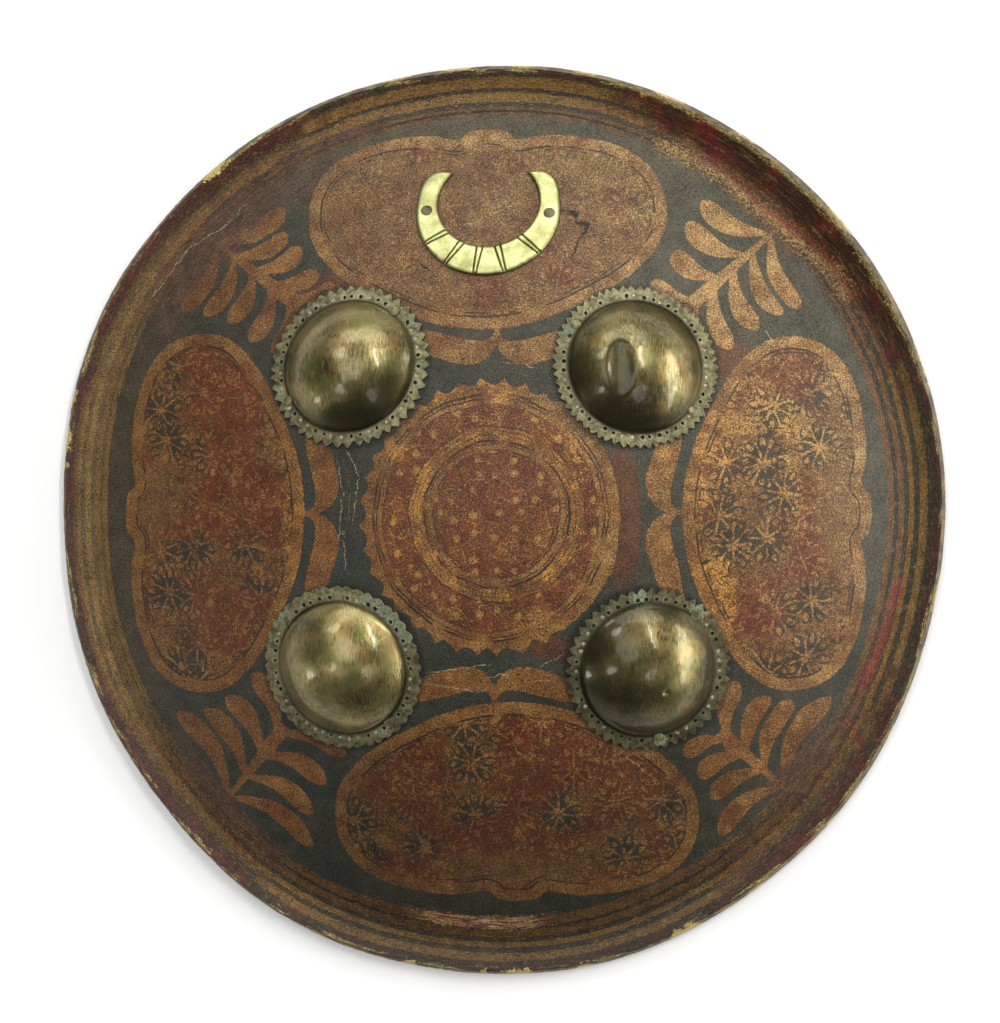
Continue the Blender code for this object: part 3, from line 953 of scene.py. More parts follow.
def lay_medallion(nodes, paint, vine):
    """The toothed medallion with its strewn buds and its rings: returns its gold ring."""
    flat, hand, ragged, cloudy = nodes.flat, nodes.hand, nodes.ragged, nodes.cloudy
    russet, maroon = nodes.russet, nodes.maroon
    cells = nodes.cells(nodes.scale(hand, 0.105), 0.6)
    chosen, _, _ = nodes.split(cells["Color"])
    bud = (cells["Distance"] + ragged * 0.22).step(0.26, 0.08) * chosen.step(0.1, 0.4)
    x, y, _ = nodes.split(hand)
    mx = x - paint.medallion_x * 1000
    my = y - paint.medallion_y * 1000
    out = nodes.length(mx, my)
    wide = (mx + 3.2) * 1.05
    tall = my + 1.5
    outer = nodes.length(wide, tall)
    angle = nodes.math("ARCTAN2", tall, wide)
    sway = nodes.noise(flat, 0.03) * 4.0
    teeth = abs(nodes.math("SINE", angle * 18.0 + sway))
    teeth = 0.35 + (teeth - 0.35) * wide.step(48.0, 20.0)
    edge = paint.medallion_radius * 1000 - teeth * (1.8 + nodes.patchy * 3.6)
    rimward = paint.medallion_radius * 1000 - outer
    nodes.lay((edge - outer).step(-0.25, 0.35), russet, 0.42 + cloudy * 1.1)
    strewn = 0.25 + cloudy * 0.35
    petal_turn = nodes.join(angle * 7.0, outer * 0.16)
    veins = nodes.uneven(petal_turn, 1.0, 1.0).line(0.02, 0.03)
    strewn += veins * 0.1
    strewn += nodes.most(bud * 0.46, vine * 0.2)
    nodes.lay(rimward.step(11.5, 13.0), maroon, strewn)
    bright = 0.39 + cloudy * 1.2
    bright += mx.step(14.0, -36.0) * 0.16
    rubbed = out + ragged * 5.0
    gold_ring = rubbed.band(35.6, 41.6, 0.9)
    nodes.lay(gold_ring, russet, bright)
    nodes.lay(out.band(30.6, 34.2, 1.0), russet, 0.42 + cloudy)
    for way, middle, half, strength in (
        (rimward, 7.6, 0.35, 0.8),
        (rimward, 9.4, 0.25, 0.7),
        (rimward, 12.4, 0.2, 0.5),
        (out, 42.0, 0.25, 0.6),
        (out, 39.9, 0.15, 0.45),
        (out, 37.6, 0.15, 0.45),
        (out, 34.8, 0.4, 0.75),
        (out, 33.2, 0.2, 0.5),
        (out, 30.4, 0.25, 0.6),
        (out, 28.9, 0.2, 0.4),
    ):
        ring = (way - middle).line(half, 0.3)
        broken = nodes.noise(flat, 0.06 + middle * 0.001).step(0.4, 0.56)
        nodes.lay(ring * broken * strength, DARK_LACQUER, 0.0)
    return gold_ring


def lay_cartouches(nodes, paint, vine):
    """The four cartouches with their rosettes and curls: returns where they are golden."""
    flat, hand, cloudy, lively = nodes.flat, nodes.hand, nodes.cloudy, nodes.lively
    russet, maroon = nodes.russet, nodes.maroon
    depth = nodes.attribute("cartouche") + nodes.ragged * 0.8
    depth += lively * 1.6
    darker = nodes.zone("dark_zone")
    golden, faded = nodes.zone("gold_zone", 0.5), nodes.zone("faded_zone", 0.5)
    work = nodes.group("scrollwork", Place=hand, Cell=25.0, Petals=8.0)
    shifted = nodes.vector("ADD", hand, (7.0, 3.0, 0.0))
    small = nodes.group("scrollwork", Place=shifted, Cell=12.0, Petals=5.0)
    small = small["Petal"] * work["Petal"].step(0.5, 0.2)
    small *= 1.0 - nodes.most(darker, faded * 0.7) * 0.75
    petals = nodes.mix(darker, maroon, paint.green)
    border = depth.step(13.0, 7.0)
    between = nodes.mix(nodes.most(darker, golden * 0.8), maroon, russet)
    between = between.mix(border * 0.7, russet)
    ground = between.mix(work["Petal"] * 0.88, petals)
    ground = ground.mix(work["Bud"] * 0.7, paint.orange)
    spread = nodes.blend(darker, 0.27, 0.36)
    spread += border * 0.12
    spread = nodes.blend(work["Petal"], spread, 0.06 + lively * 0.6)
    spread = nodes.blend(nodes.most(work["Line"], vine * 0.8), spread, spread + 0.22)
    spread = nodes.blend(work["Bud"], spread, 0.5 + lively * 0.6)
    spread = nodes.blend(small * 0.85, spread, 0.08)
    ground = ground.mix(small * 0.6, petals)
    curl = nodes.uneven(hand, 0.2, 1.0).line(0.016, 0.03)
    curl *= 0.9 - faded * 0.25
    ground = ground.mix(curl * 0.6, petals)
    spread = nodes.blend(curl * 0.7, spread, 0.1)
    spread += golden * 0.13
    stroke = nodes.uneven(hand, 0.15, 1.5).line(0.012, 0.02)
    stroke *= nodes.noise(flat, 0.11).step(0.46, 0.56)
    stroke *= 1.0 - faded
    ground = ground.mix(stroke * 0.8, nodes.mix(darker, russet, paint.green))
    spread = nodes.blend(stroke, spread, nodes.blend(darker, 0.5, 0.05))
    ground = ground.mix(faded * 0.6, srgb(88, 66, 38))
    spread = nodes.blend(faded * 0.6, spread, 0.34)
    spread += cloudy * 0.3
    nodes.lay(depth.step(-0.2, 0.4), russet, 0.42 + cloudy * 0.9)
    nodes.lay(depth.step(5.6, 7.0), ground, spread)
    for middle, half, start in ((6.3, 0.3, 0.42), (8.1, 0.2, 0.5)):
        rule = (depth - middle).line(half, 0.3)
        rule *= nodes.noise(flat, 0.05 + 0.002 * middle, 2.0).step(start, start + 0.12)
        nodes.lay(rule * 0.85, DARK_LACQUER, 0.0)
    return golden


def lay_dust(nodes, paint, golden):
    """The gold dust over the layers, paler towards the top right as painted sheen and darker towards the
    lower left as painted shade: returns where it lies.
    """
    dust = nodes.group("gold_dust", Place=nodes.flat, Density=nodes.density)["Dust"]
    yellow = nodes.mix(golden * nodes.cloudy.step(-0.12, 0.1), paint.gold, srgb(162, 114, 42))
    yellow = yellow.mix(nodes.painted_sheen * 0.55, srgb(162, 134, 88))
    # Darker gold towards the lower left: painted shade.
    deep = (nodes.x + nodes.y * 0.4).step(30.0, -170.0) * 0.55
    yellow = yellow.mix(deep, srgb(104, 74, 36))
    # A pale film towards the top right: painted sheen.
    nodes.colour = nodes.colour.mix(nodes.painted_sheen * 0.09, srgb(134, 118, 88)).mix(dust, yellow)
    return dust


def lay_stripes(nodes, stripe, muddle, bent):
    """The stripes round the rim, streaked, worn together in places, dark on the bent lip with painted
    shade, and bare where it is bent.
    """
    flat, ragged, lively = nodes.flat, nodes.ragged, nodes.lively
    inset, streak, fine, patchy = nodes.inset, nodes.streak, nodes.fine, nodes.patchy
    whole = stripe_colours(nodes, stripe, STRIPES)
    old = stripe_colours(nodes, stripe, OLD_STRIPES)
    mixed = muddle + lively * 1.4
    stripes = nodes.mix(mixed.step(0.35, 0.8), whole, old)
    stripes = stripes.mix(streak.step(0.5, 0.66) * 0.5, srgb(52, 36, 26))
    stripes = stripes.mix(streak.step(0.44, 0.3) * 0.4, srgb(112, 84, 42))
    stripes = stripes.mix(fine.step(0.54, 0.64) * 0.55, DARK_LACQUER)
    stripes = stripes.mix(fine.step(0.44, 0.34) * 0.5, srgb(142, 116, 66))
    stripes = stripes.mix(patchy.step(0.58, 0.7) * 0.3, srgb(66, 32, 26))
    plum = (inset + ragged * 4.0).step(7.5, 5.5) * patchy.step(0.42, 0.55)
    stripes = stripes.mix(plum * 0.55, srgb(70, 30, 26))
    # On the bent lip's inner face: dark brown lacquer streaked red and olive, whose darkness also stands
    # for painted shade.
    dark_lacquer_and_shade = nodes.mix(streak.step(0.4, 0.62), srgb(74, 42, 22), srgb(36, 18, 13))
    dark_lacquer_and_shade = dark_lacquer_and_shade.mix(nodes.noise(flat, 0.07, 3.0, 0.7).step(0.52, 0.62) * 0.75, srgb(96, 24, 22))
    olive = nodes.noise(nodes.join(nodes.round_rim * 16.0, inset * 0.5), 1.0, 3.0, 0.7)
    dark_lacquer_and_shade = dark_lacquer_and_shade.mix(olive.step(0.55, 0.66) * 0.75, srgb(116, 98, 46))
    dark_lacquer_and_shade = dark_lacquer_and_shade.mix(fine.step(0.5, 0.62) * 0.55, srgb(28, 20, 14))
    shaded_bent_lip = (inset + ragged * 6.0).step(19.0, 14.5) * bent
    stripes = stripes.mix(shaded_bent_lip * 0.9, dark_lacquer_and_shade)
    westward = nodes.x.step(-140.0, -205.0)
    outermost = (inset + ragged * 4.0).step(9.5, 7.0)
    stripes = stripes.mix(westward * (1.0 - outermost) * 0.26, srgb(142, 116, 68))
    stripes = stripes.mix(westward * outermost * 0.45, srgb(84, 54, 48))
    nodes.colour = nodes.colour.mix(stripe.step(9.1, 8.9), stripes)
    # The lip's edge, where the gold and the lacquer are worn thin.
    near_edge = inset + (ragged + (streak - 0.5)) * 5.0
    worn_edge = (near_edge - bent * 0.9).band(0.2, 4.4, 0.6)
    worn_edge *= (nodes.noise(nodes.lengthwise, 0.5, 2.0) + bent * 0.2).step(0.5, 0.6)
    crust = nodes.mix(fine.step(0.44, 0.6), srgb(168, 150, 88), srgb(84, 70, 38))
    nodes.colour = nodes.colour.mix(worn_edge * 0.85, crust)


def lay_wear(nodes, paint):
    """Rubbing, dirt, painted shade round the bosses, cracks, scratches, creases and chips: returns the
    cracks, rubs and chips.
    """
    flat, ragged, lively = nodes.flat, nodes.ragged, nodes.lively
    streak, fine, colour = nodes.streak, nodes.fine, nodes.colour
    worn = nodes.attribute("worn") + (ragged + lively) * 1.3
    plum = nodes.mix(streak.step(0.4, 0.6), srgb(88, 62, 46), srgb(64, 44, 34))
    colour = colour.mix(worn.step(0.1, 0.6) * 0.7, plum)
    thin = nodes.noise(flat, 0.16, 4.0, 0.7).step(0.58, 0.74)
    colour = colour.mix(thin * 0.3, srgb(82, 64, 44))
    fleck = nodes.noise(nodes.place, 0.9, 2.0, 0.5).step(0.72, 0.8)
    colour = colour.mix(fleck * 0.45, srgb(140, 128, 100))
    # Darker round the bosses' flanges: painted shade.
    shade_near_metal = nodes.attribute("from_metal").step(3.2, 0.5)
    colour = colour.mix(shade_near_metal * 0.6, srgb(22, 18, 12))
    crack = nodes.attribute("crack") + nodes.uneven(flat, 0.4, 3.0) * 3.0
    crack = crack.line(0.22, 0.35) * nodes.attribute("crack_on")
    colour = colour.mix(crack * 0.9, srgb(16, 12, 9))
    gouge = (nodes.attribute("gouge") + ragged * 1.2).step(-0.35, -0.1)
    crack = nodes.most(crack, gouge)
    colour = colour.mix(gouge * 0.85, srgb(20, 16, 12))
    scratch = nodes.attribute("scratch") + nodes.uneven(flat, 0.25, 3.0) * 4.0
    scratch = scratch.line(0.08, 0.25) * nodes.attribute("scratch_on")
    scratch *= nodes.noise(flat, 0.5).step(0.36, 0.5)
    colour = colour.mix(scratch * 0.65, srgb(166, 152, 118))
    pale = (nodes.attribute("pale_rub") + (ragged + (fine - 0.5)) * 1.6).step(-0.05, 0.15)
    pinkish = nodes.mix(streak.step(0.45, 0.55), srgb(166, 140, 92), srgb(116, 46, 48))
    colour = colour.mix(pale * 0.9, pinkish)
    flaked = (ragged * 1.6 + (fine - 0.5)) * 3.4
    dry = (nodes.attribute("pale_crease") + flaked).step(0.3, 0.6)
    crust = nodes.mix(fine.step(0.42, 0.6), srgb(160, 142, 84), srgb(116, 80, 34))
    colour = colour.mix(dry * 0.85, crust)
    red = (nodes.attribute("red_crease") + flaked).step(0.2, 0.7)
    colour = colour.mix(red * 0.68, paint.red)
    blotchy = nodes.uneven(flat, 0.3, 2.0) * 2.2 + ragged * 0.7
    chip = (nodes.attribute("chip") + blotchy).step(0.1, 0.2)
    nodes.colour = colour.mix(chip, paint.bare)
    return crack, pale, chip


def painted_material(paint):
    """The painted face, built up as its makers did: lacquer, ornament, gold dust, rim and wear, with
    painted sheen towards the top right and painted shade towards the bottom.
    """
    nodes = PaintedNodes(paint)
    vine = nodes.uneven(nodes.hand, 0.07, 1.0).line(0.006, 0.012)
    lay_leaves(nodes, paint)
    gold_ring = lay_medallion(nodes, paint, vine)
    golden = lay_cartouches(nodes, paint, vine)
    dust = lay_dust(nodes, paint, nodes.most(golden, gold_ring * 0.9))
    muddle = nodes.attribute("muddle")
    stripe = nodes.attribute("stripe") + nodes.ragged * (0.3 + muddle * 1.3)
    stripe += nodes.lively * (muddle * 2.0)
    bent = (nodes.attribute("bent") + nodes.cloudy * 0.5).step(0.3, 0.55)
    lay_stripes(nodes, stripe, muddle, bent)
    crack, pale, chip = lay_wear(nodes, paint)
    # Pale glints of the gold dust, more towards the top right: painted highlights.
    glint = nodes.noise(nodes.flat, 1.7, 1.0).step(0.6, 0.7) * dust * (0.14 + nodes.painted_sheen * 0.42)
    colour = nodes.colour.mix(glint * stripe.step(8.9, 9.2), srgb(214, 202, 160))
    # Darker towards the bottom: painted shade.
    low = nodes.y.step(-70.0, -150.0) * abs(nodes.x - 10.0).step(130.0, 70.0)
    colour = colour.mix(low * 0.38, srgb(26, 21, 15))
    speckle = nodes.group("speckle", Place=nodes.place, Amount=1.8)
    height = speckle["Height"] * 0.6 + nodes.noise(nodes.place, 0.3, 3.0) * 0.4
    height += nodes.fine * (nodes.inset.step(32.0, 24.0) * 0.7)
    height -= nodes.most(crack, chip * 0.8) * 1.4
    rough = 0.4 + nodes.noise(nodes.place, 0.35, 3.0) * 0.18
    return nodes.finish(
        Base_Color=nodes.shaded(colour, speckle["Shade"]),
        Roughness=rough + nodes.most(chip, pale) * 0.3,
        Specular_IOR_Level=0.26,
        Normal=nodes.bump(height, 0.00026),
    )


def cut_edge_material(paint):
    """The cut edge of the hide: grey-brown, with yellow hide where it is chipped."""
    nodes = MaterialNodes("cut_edge")
    place = nodes.place
    speckle = nodes.group("speckle", Place=place, Amount=0.4)
    patchy = nodes.noise(place, 0.12, 3.0, 0.6)
    colour = nodes.mix(patchy.step(0.4, 0.62), srgb(74, 68, 56), srgb(120, 104, 72))
    chip = (nodes.attribute("chip") + nodes.uneven(place, 0.6)).step(0.2, 0.4)
    colour = colour.mix(chip, paint.bare)
    colour = nodes.shaded(colour, speckle["Shade"])
    layers = nodes.noise(nodes.vector("MULTIPLY", place, (0.1, 0.1, 2.2)), 1.0, 3.0)
    normal = nodes.bump(layers + speckle["Height"], 0.0003)
    return nodes.finish(Base_Color=colour, Roughness=0.75, Normal=normal)


def back_material(paint):
    """The plain back: thin dark lacquer over the hide, rubbed where it rests."""
    nodes = MaterialNodes("plain_back")
    place = nodes.place
    speckle = nodes.group("speckle", Place=place, Amount=0.3)
    patchy = nodes.noise(place, 0.03, 4.0, 0.6)
    grain = nodes.noise(place, 0.22, 4.0, 0.65)
    colour = nodes.mix(patchy.step(0.35, 0.65), paint.back, srgb(66, 42, 30))
    rubbed = nodes.noise(place, 0.1, 4.0, 0.7).step(0.58, 0.72)
    colour = colour.mix(rubbed * 0.5, srgb(104, 76, 50))
    _, _, level = nodes.split(place)
    resting = level.step(1.2, 0.3)
    colour = colour.mix(resting * 0.6, srgb(112, 88, 58))
    colour = nodes.shaded(colour, speckle["Shade"])
    normal = nodes.bump(grain * 1.6 + speckle["Height"] * 0.6, 0.0004)
    return nodes.finish(Base_Color=colour, Roughness=0.45 + grain * 0.25, Normal=normal)


# ---- meshes -------------------------------------------------------------------------------------

# The rounding of the painted face's corner.
CORNER = 0.0004
# Over the rounded corner, down the cut face and under the back's corner: drop and pull inwards.
CUT_EDGE = ((0.0001, 0.00012), (0.0005, 0.0), (0.0016, 0.0001), (0.0030, 0.0), (0.0041, 0.0001))
# The back's points stand this much further apart than the painted face's.
BACK_COARSENESS = 2.6


def bridge(outer, inner, faces):
    """Faces between two rings of point numbers that turn the same way and may differ in count."""
    m, n = len(outer), len(inner)
    if m == n:
        for i in range(m):
            j = (i + 1) % m
            faces.append((outer[i], outer[j], inner[j], inner[i]))
        return
    a = b = 0
    while a < m or b < n:
        if a < m and (b >= n or (a + 1) * n <= (b + 1) * m):
            faces.append((outer[a], outer[(a + 1) % m], inner[b % n]))
            a += 1
        else:
            faces.append((outer[a % m], inner[(b + 1) % n], inner[b % n]))
            b += 1


def add_object(name, data):
    made = bpy.data.objects.new(name, data)
    bpy.context.scene.collection.objects.link(made)
    return made


def new_piece(name, points, faces, materials, stands_for, kinds=None):
    """A mesh object that rides on the shield and stands for its solids."""
    mesh = bpy.data.meshes.new(name)
    mesh.from_pydata([tuple(p) for p in np.asarray(points).tolist()], [], faces)
    mesh.validate()
    made = add_object(name, mesh)
    for material in materials:
        mesh.materials.append(material)
    if kinds is not None:
        mesh.polygons.foreach_set("material_index", kinds)
    mesh.shade_smooth()
    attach(made, "root")
    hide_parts(*stands_for)
    return made


def keep_fields(made, fields, sides=1):
    """Keeps values on a piece's points, for its material to read: once, or for both sides of a sheet."""
    for name, values in fields.items():
        kept = made.data.attributes.new(name, "FLOAT", "POINT")
        kept.data.foreach_set("value", np.tile(values, sides).astype(np.float32))


def ring_angles(radius, fineness):
    """The directions of a ring's points: the least doubling that is fine enough."""
    count = 27
    while math.tau * radius / count > 1.42 * fineness:
        count *= 2
    return full_turn(count)


def make_hide(paint, hide):
    """The whole shell as one closed skin."""
    points = [np.array([[0.0, 0.0, float(hide_height(np.zeros(1), np.zeros(1))[0])]])]
    rings, faces, kinds = [[0]], [], []

    def add_ring(angle, radius, lift=0.0, lowest=-1.0):
        """A ring of points over the painted face, lifted along its normal."""
        x, y = radius * np.cos(angle), radius * np.sin(angle)
        spots = np.stack([x, y, hide_height(x, y)], 1) + hide_normal(x, y) * lift
        spots[:, 2] = np.maximum(spots[:, 2], lowest)
        start = rings[-1][-1] + 1
        points.append(spots)
        rings.append(list(range(start, start + len(spots))))

    steps = int(RIM_RADIUS / hide.fineness)
    for i in range(1, steps + 1):
        share = i / steps
        angle = ring_angles(share * RIM_RADIUS, hide.fineness)
        add_ring(angle, share * (edge_radius(angle) - CORNER))
    front_rings = len(rings)
    rough = 0.00012 * (np.sin(angle * 61 + 1) + np.sin(angle * 97 + 2) + np.sin(angle * 143))
    for drop, pull in CUT_EDGE:
        add_ring(angle, edge_radius(angle) - pull - np.abs(rough), -drop)
    edge_rings = len(rings)
    # The back: the same sheet seen from below, its lowest places worn level.
    for share in (0.9985, *np.linspace(0.985, 0.86, 12), *np.linspace(0.83, 0.03, 34)):
        angle = ring_angles(share * RIM_RADIUS, hide.fineness * BACK_COARSENESS)
        add_ring(angle, share * edge_radius(angle), -HIDE_THICKNESS, 0.0)
    add_ring(np.zeros(1), np.zeros(1), -HIDE_THICKNESS)
    for i in range(len(rings) - 1):
        start = len(faces)
        if i == 0:
            ring = rings[1]
            faces += [(0, ring[j], ring[(j + 1) % len(ring)]) for j in range(len(ring))]
        elif i == len(rings) - 2:
            ring, tip = rings[i], rings[i + 1][0]
            faces += [(tip, ring[(j + 1) % len(ring)], ring[j]) for j in range(len(ring))]
        else:
            bridge(rings[i + 1], rings[i], faces)
        kind = 0 if i < front_rings else 1 if i < edge_rings - 1 else 2
        kinds += [kind] * (len(faces) - start)
    points = np.vstack(points)
    made = new_piece(
        "hide", points, faces,
        [painted_material(paint), cut_edge_material(paint), back_material(paint)],
        ["hide_shell"], kinds,
    )
    keep_fields(made, hide_fields(points[:, 0], points[:, 1]))


# ---- brass --------------------------------------------------------------------------------------

# Teeth, share of the full tooth depth, roundness of the teeth, number of holes.
BOSSES = {
    "upper_left": (46, 1.0, 0.15, 47),
    "upper_right": (60, 0.8, 0.1, 49),
    "lower_left": (44, 0.5, 0.7, 45),
    "lower_right": (48, 1.0, 0.1, 46),
}
# Corrosion on a flange: direction in degrees, how far out and half-size in mm.
VERDIGRIS = {
    "upper_left": ((36, 38, 3.5), (200, 37, 3)),
    "upper_right": ((152, 37, 3.5), (322, 36, 3)),
    "lower_left": ((28, 39, 5), (41, 39, 6), (54, 38.5, 5.5), (66, 38, 4), (138, 38, 4.5), (300, 36, 3)),
    "lower_right": ((52, 38, 4.5), (100, 37, 3.5), (282, 36, 3)),
}
# The dent in the upper right dome: middle and half-sizes, and its depth.
DENT = (-0.0103, -0.0042, 0.0068, 0.0134)
DENT_DEPTH = 0.0021
# The pit in the lower right dome: middle, half-size and depth.
PIT = (0.0056, -0.0070, 0.0013, 0.0010)
# Fine lumps of the beaten domes: waves a metre across and up, turn and height.
DOME_LUMPS = (
    (170, 60, 1, 0.00009), (-90, 210, 2, 0.00009), (320, 280, 3, 0.00004),
    (640, 300, 4, 0.00003), (-380, 720, 5, 0.00003),
)
# Where the flange begins, and the share of the holes that are clogged with pale dirt.
FLANGE_START = 0.0328
CLOGGED = 0.42
POINT_SPACING = 0.00105
RING_SPACING = 0.0009
FINE_RING_SPACING = 0.00055
# Grime and painted shade on each dome: direction of its darker side in degrees, which is painted shade, how
# much there and how much grime all over.
GRIME_AND_SHADE = {
    "upper_left": (300, 1.3, -0.05),
    "upper_right": (235, 0.8, 0.30),
    "lower_left": (290, 0.5, -0.4),
    "lower_right": (185, 0.6, 0.5),
}


def old_brass_material(boss):
    nodes = MaterialNodes("old_brass")
    place = nodes.place
    age = nodes.group("brass_age", Place=place, Brushed=0.7)
    flange = nodes.attribute("flange")
    broad = nodes.noise(place, 0.045, 2.0)
    clouds = nodes.noise(place, 0.1, 3.0, 0.6)
    tarnish = age["Tarnish"] * 0.55 + (broad - 0.5) * 1.4
    tarnish += (age["Scratch"] - 0.5) * 1.9
    colour = nodes.mix(tarnish, boss.brass, boss.tarnish)
    colour = colour.mix(clouds.step(0.48, 0.62) * 0.5, srgb(104, 106, 58))
    colour = colour.mix(clouds.step(0.46, 0.34) * 0.5, srgb(132, 104, 60))
    # Grime all over each dome, and painted shade on one side, towards the foot and in the dent.
    grimy_and_shaded = nodes.attribute("grime_and_shade") + (clouds - 0.5) * 0.7
    grimy_and_shaded += (age["Scratch"] - 0.5) * 0.5
    dull = nodes.mix(nodes.noise(place, 0.35, 3.0).step(0.3, 0.7), srgb(122, 118, 86), srgb(62, 60, 42))
    dull = dull.mix(nodes.noise(place, 1.3, 1.0).step(0.58, 0.72) * 0.6, srgb(150, 146, 116))
    # Pale rims round the open holes: painted highlight where light catches their edges.
    dull = dull.mix(nodes.attribute("hole_rim_highlight") * 0.4, srgb(176, 172, 138))
    colour = colour.mix(flange * 0.9, dull)
    colour = colour.mix(grimy_and_shaded.step(0.05, 1.0) * 0.85, srgb(42, 40, 22))
    crumbs = nodes.noise(place, 0.8, 3.0, 0.7)
    green = (nodes.attribute("verdigris") + (crumbs - 0.5)).step(0.25, 0.55)
    crust = nodes.mix(crumbs.step(0.42, 0.6), srgb(84, 92, 62), boss.verdigris)
    colour = colour.mix(green * 0.85, crust)
    residue = nodes.attribute("residue")
    pale = nodes.mix(crumbs.step(0.4, 0.6), srgb(178, 172, 138), srgb(96, 90, 66))
    colour = colour.mix(residue, pale)
    # A dark band along the dome's foot: painted shade in the crease, which also darkens what the brass
    # reflects there.
    foot = nodes.attribute("foot")
    colour = colour.mix(foot * 0.9, srgb(34, 31, 18))
    colour = colour.mix(age["Pit"] * 0.4, srgb(40, 34, 18))
    plain = nodes.most(green * 0.9, residue)
    metal = nodes.math("SUBTRACT", nodes.blend(flange, 0.92, 0.72), plain, clamp=True)
    coat = nodes.math("SUBTRACT", 0.36, nodes.most(flange, foot) * 0.36, clamp=True)
    rough = 0.24 + age["Scratch"] * 0.22
    rough += flange * 0.08
    rough += plain * 0.25
    height = age["Scratch"] * 0.9 + nodes.noise(place, 0.2, 2.0) * 0.8
    height += crumbs * green * 4.0
    normal = nodes.bump(height, 0.00013)
    return nodes.finish(
        Base_Color=colour, Metallic=metal, Roughness=rough, Normal=normal,
        Coat_Weight=coat, Coat_Roughness=0.09,
    )


def bright_brass_material(crescent):
    nodes = MaterialNodes("bright_brass")
    place = nodes.place
    age = nodes.group("brass_age", Place=place, Brushed=0.3)
    colour = nodes.mix(age["Tarnish"] * 0.75, crescent.brass, srgb(128, 124, 66))
    colour = colour.mix(age["Scratch"].step(0.5, 0.66) * 0.5, srgb(226, 222, 168))
    # Darker along the outer edge: tarnish, and painted shade on the filed bevel.
    colour = colour.mix(nodes.attribute("edge") * 0.85, srgb(84, 78, 36))
    groove = nodes.attribute("groove")
    colour = colour.mix(groove * 0.85, srgb(50, 46, 20))
    colour = colour.mix(age["Pit"] * 0.35, srgb(84, 78, 38))
    rough = 0.26 + age["Scratch"] * 0.25
    normal = nodes.bump(age["Scratch"] + nodes.noise(place, 0.3, 2.0), 0.00014, 0.9)
    return nodes.finish(Base_Color=colour, Metallic=1.0, Roughness=rough, Normal=normal)


def iron_material():
    nodes = MaterialNodes("dark_iron")
    place = nodes.place
    age = nodes.group("brass_age", Place=place, Brushed=0.3)
    colour = nodes.mix(age["Tarnish"], srgb(112, 106, 78), srgb(64, 60, 42))
    rough = 0.45 + age["Scratch"] * 0.25
    normal = nodes.bump(age["Scratch"], 0.00015)
    return nodes.finish(Base_Color=colour, Metallic=0.8, Roughness=rough, Normal=normal)


def sheet_faces(spots, outline, holes):
    """Triangles over a flat sheet: the outline, its holes and any points between them."""
    coords = [Vector(p) for p in outline]
    edges = [(i, (i + 1) % len(outline)) for i in range(len(outline))]
    for hole in holes:
        start = len(coords)
        coords += [Vector(p) for p in hole]
        edges += [(start + i, start + (i + 1) % len(hole)) for i in range(len(hole))]
    coords += [Vector(p) for p in spots]
    made = delaunay_2d_cdt(coords, edges, [], 0, 1e-7)
    points = np.array([tuple(v) for v in made[0]])
    faces = np.array([tuple(f) for f in made[2]])
    middles = points[faces].mean(1)
    keep = inside_depth(middles, np.asarray(outline)) > 0
    for hole in holes:
        hole = np.asarray(hole)
        near = np.linalg.norm(middles - hole.mean(0), axis=1) < 0.004
        rows = np.flatnonzero(near & keep)
        keep[rows] = inside_depth(middles[rows], hole) < 0
    faces = faces[keep]
    a, b, c = (points[faces[:, i]] for i in range(3))
    backward = np.cross(b - a, c - a) < 0
    faces[backward] = faces[backward][:, ::-1]
    return points, faces


def close_sheet(top, bottom, faces):
    """Points and faces of a closed plate between two sheets with the same triangles."""
    count = len(top)
    seen = {}
    for f in faces.tolist():
        for a, b in ((f[0], f[1]), (f[1], f[2]), (f[2], f[0])):
            seen[(a, b)] = True
    walls = [(a, b) for a, b in seen if (b, a) not in seen]
    out = faces.tolist()
    out += [[f[2] + count, f[1] + count, f[0] + count] for f in faces.tolist()]
    out += [[b, a, a + count, b + count] for a, b in walls]
    return np.vstack([top, bottom]), out


def sheet_normals(points, faces):
    a, b, c = (points[faces[:, i]] for i in range(3))
    each = np.cross(b - a, c - a)
    total = np.zeros_like(points)
    for i in range(3):
        np.add.at(total, faces[:, i], each)
    return total / np.linalg.norm(total, axis=1, keepdims=True)


def boss_outline(boss, rng, teeth, share, roundness):
    """The toothed edge of a boss, cut by hand."""
    outline = []
    pitch = math.tau / teeth
    for i in range(teeth):
        middle = (i + 0.12 * rng.uniform(-1, 1)) * pitch
        tip = boss.tip_radius * (1 + 0.004 * rng.uniform(-1, 1))
        deep = boss.tooth * share * (1 + 0.15 * rng.uniform(-1, 1))
        lean = 0.06 * rng.uniform(-1, 1)
        for t in (-0.5, -0.34, -0.17, -0.05, 0.05, 0.17, 0.34):
            rise = 1 - abs(2 * t)
            rise = rise * (1 - roundness) + math.sin(rise * math.pi / 2) * roundness
            radius = tip - deep * (1 - min(rise * 1.04, 1.0))
            angle = middle + (t + lean * rise) * pitch
            outline.append((radius * math.cos(angle), radius * math.sin(angle)))
    return outline


def boss_holes(boss, rng, count, rivets):
    """The ring of pierced holes, left out where a rivet sits."""
    holes = []
    for i in range(count):
        angle = math.tau * (i + 0.16 * rng.uniform(-1, 1)) / count
        out = boss.hole_ring + 0.0003 * rng.uniform(-1, 1)
        middle = np.array([out * math.cos(angle), out * math.sin(angle)])
        size = boss.hole_radius * (1 + 0.16 * rng.uniform(-1, 1))
        if min(np.linalg.norm(middle - r) for r in rivets) < 0.0036:
            continue
        squash = 1 + 0.12 * rng.uniform(-1, 1)
        turns = full_turn(10)
        ring = np.stack([np.cos(turns) * squash, np.sin(turns) / squash], 1)
        holes.append(ring * size + middle)
    return holes


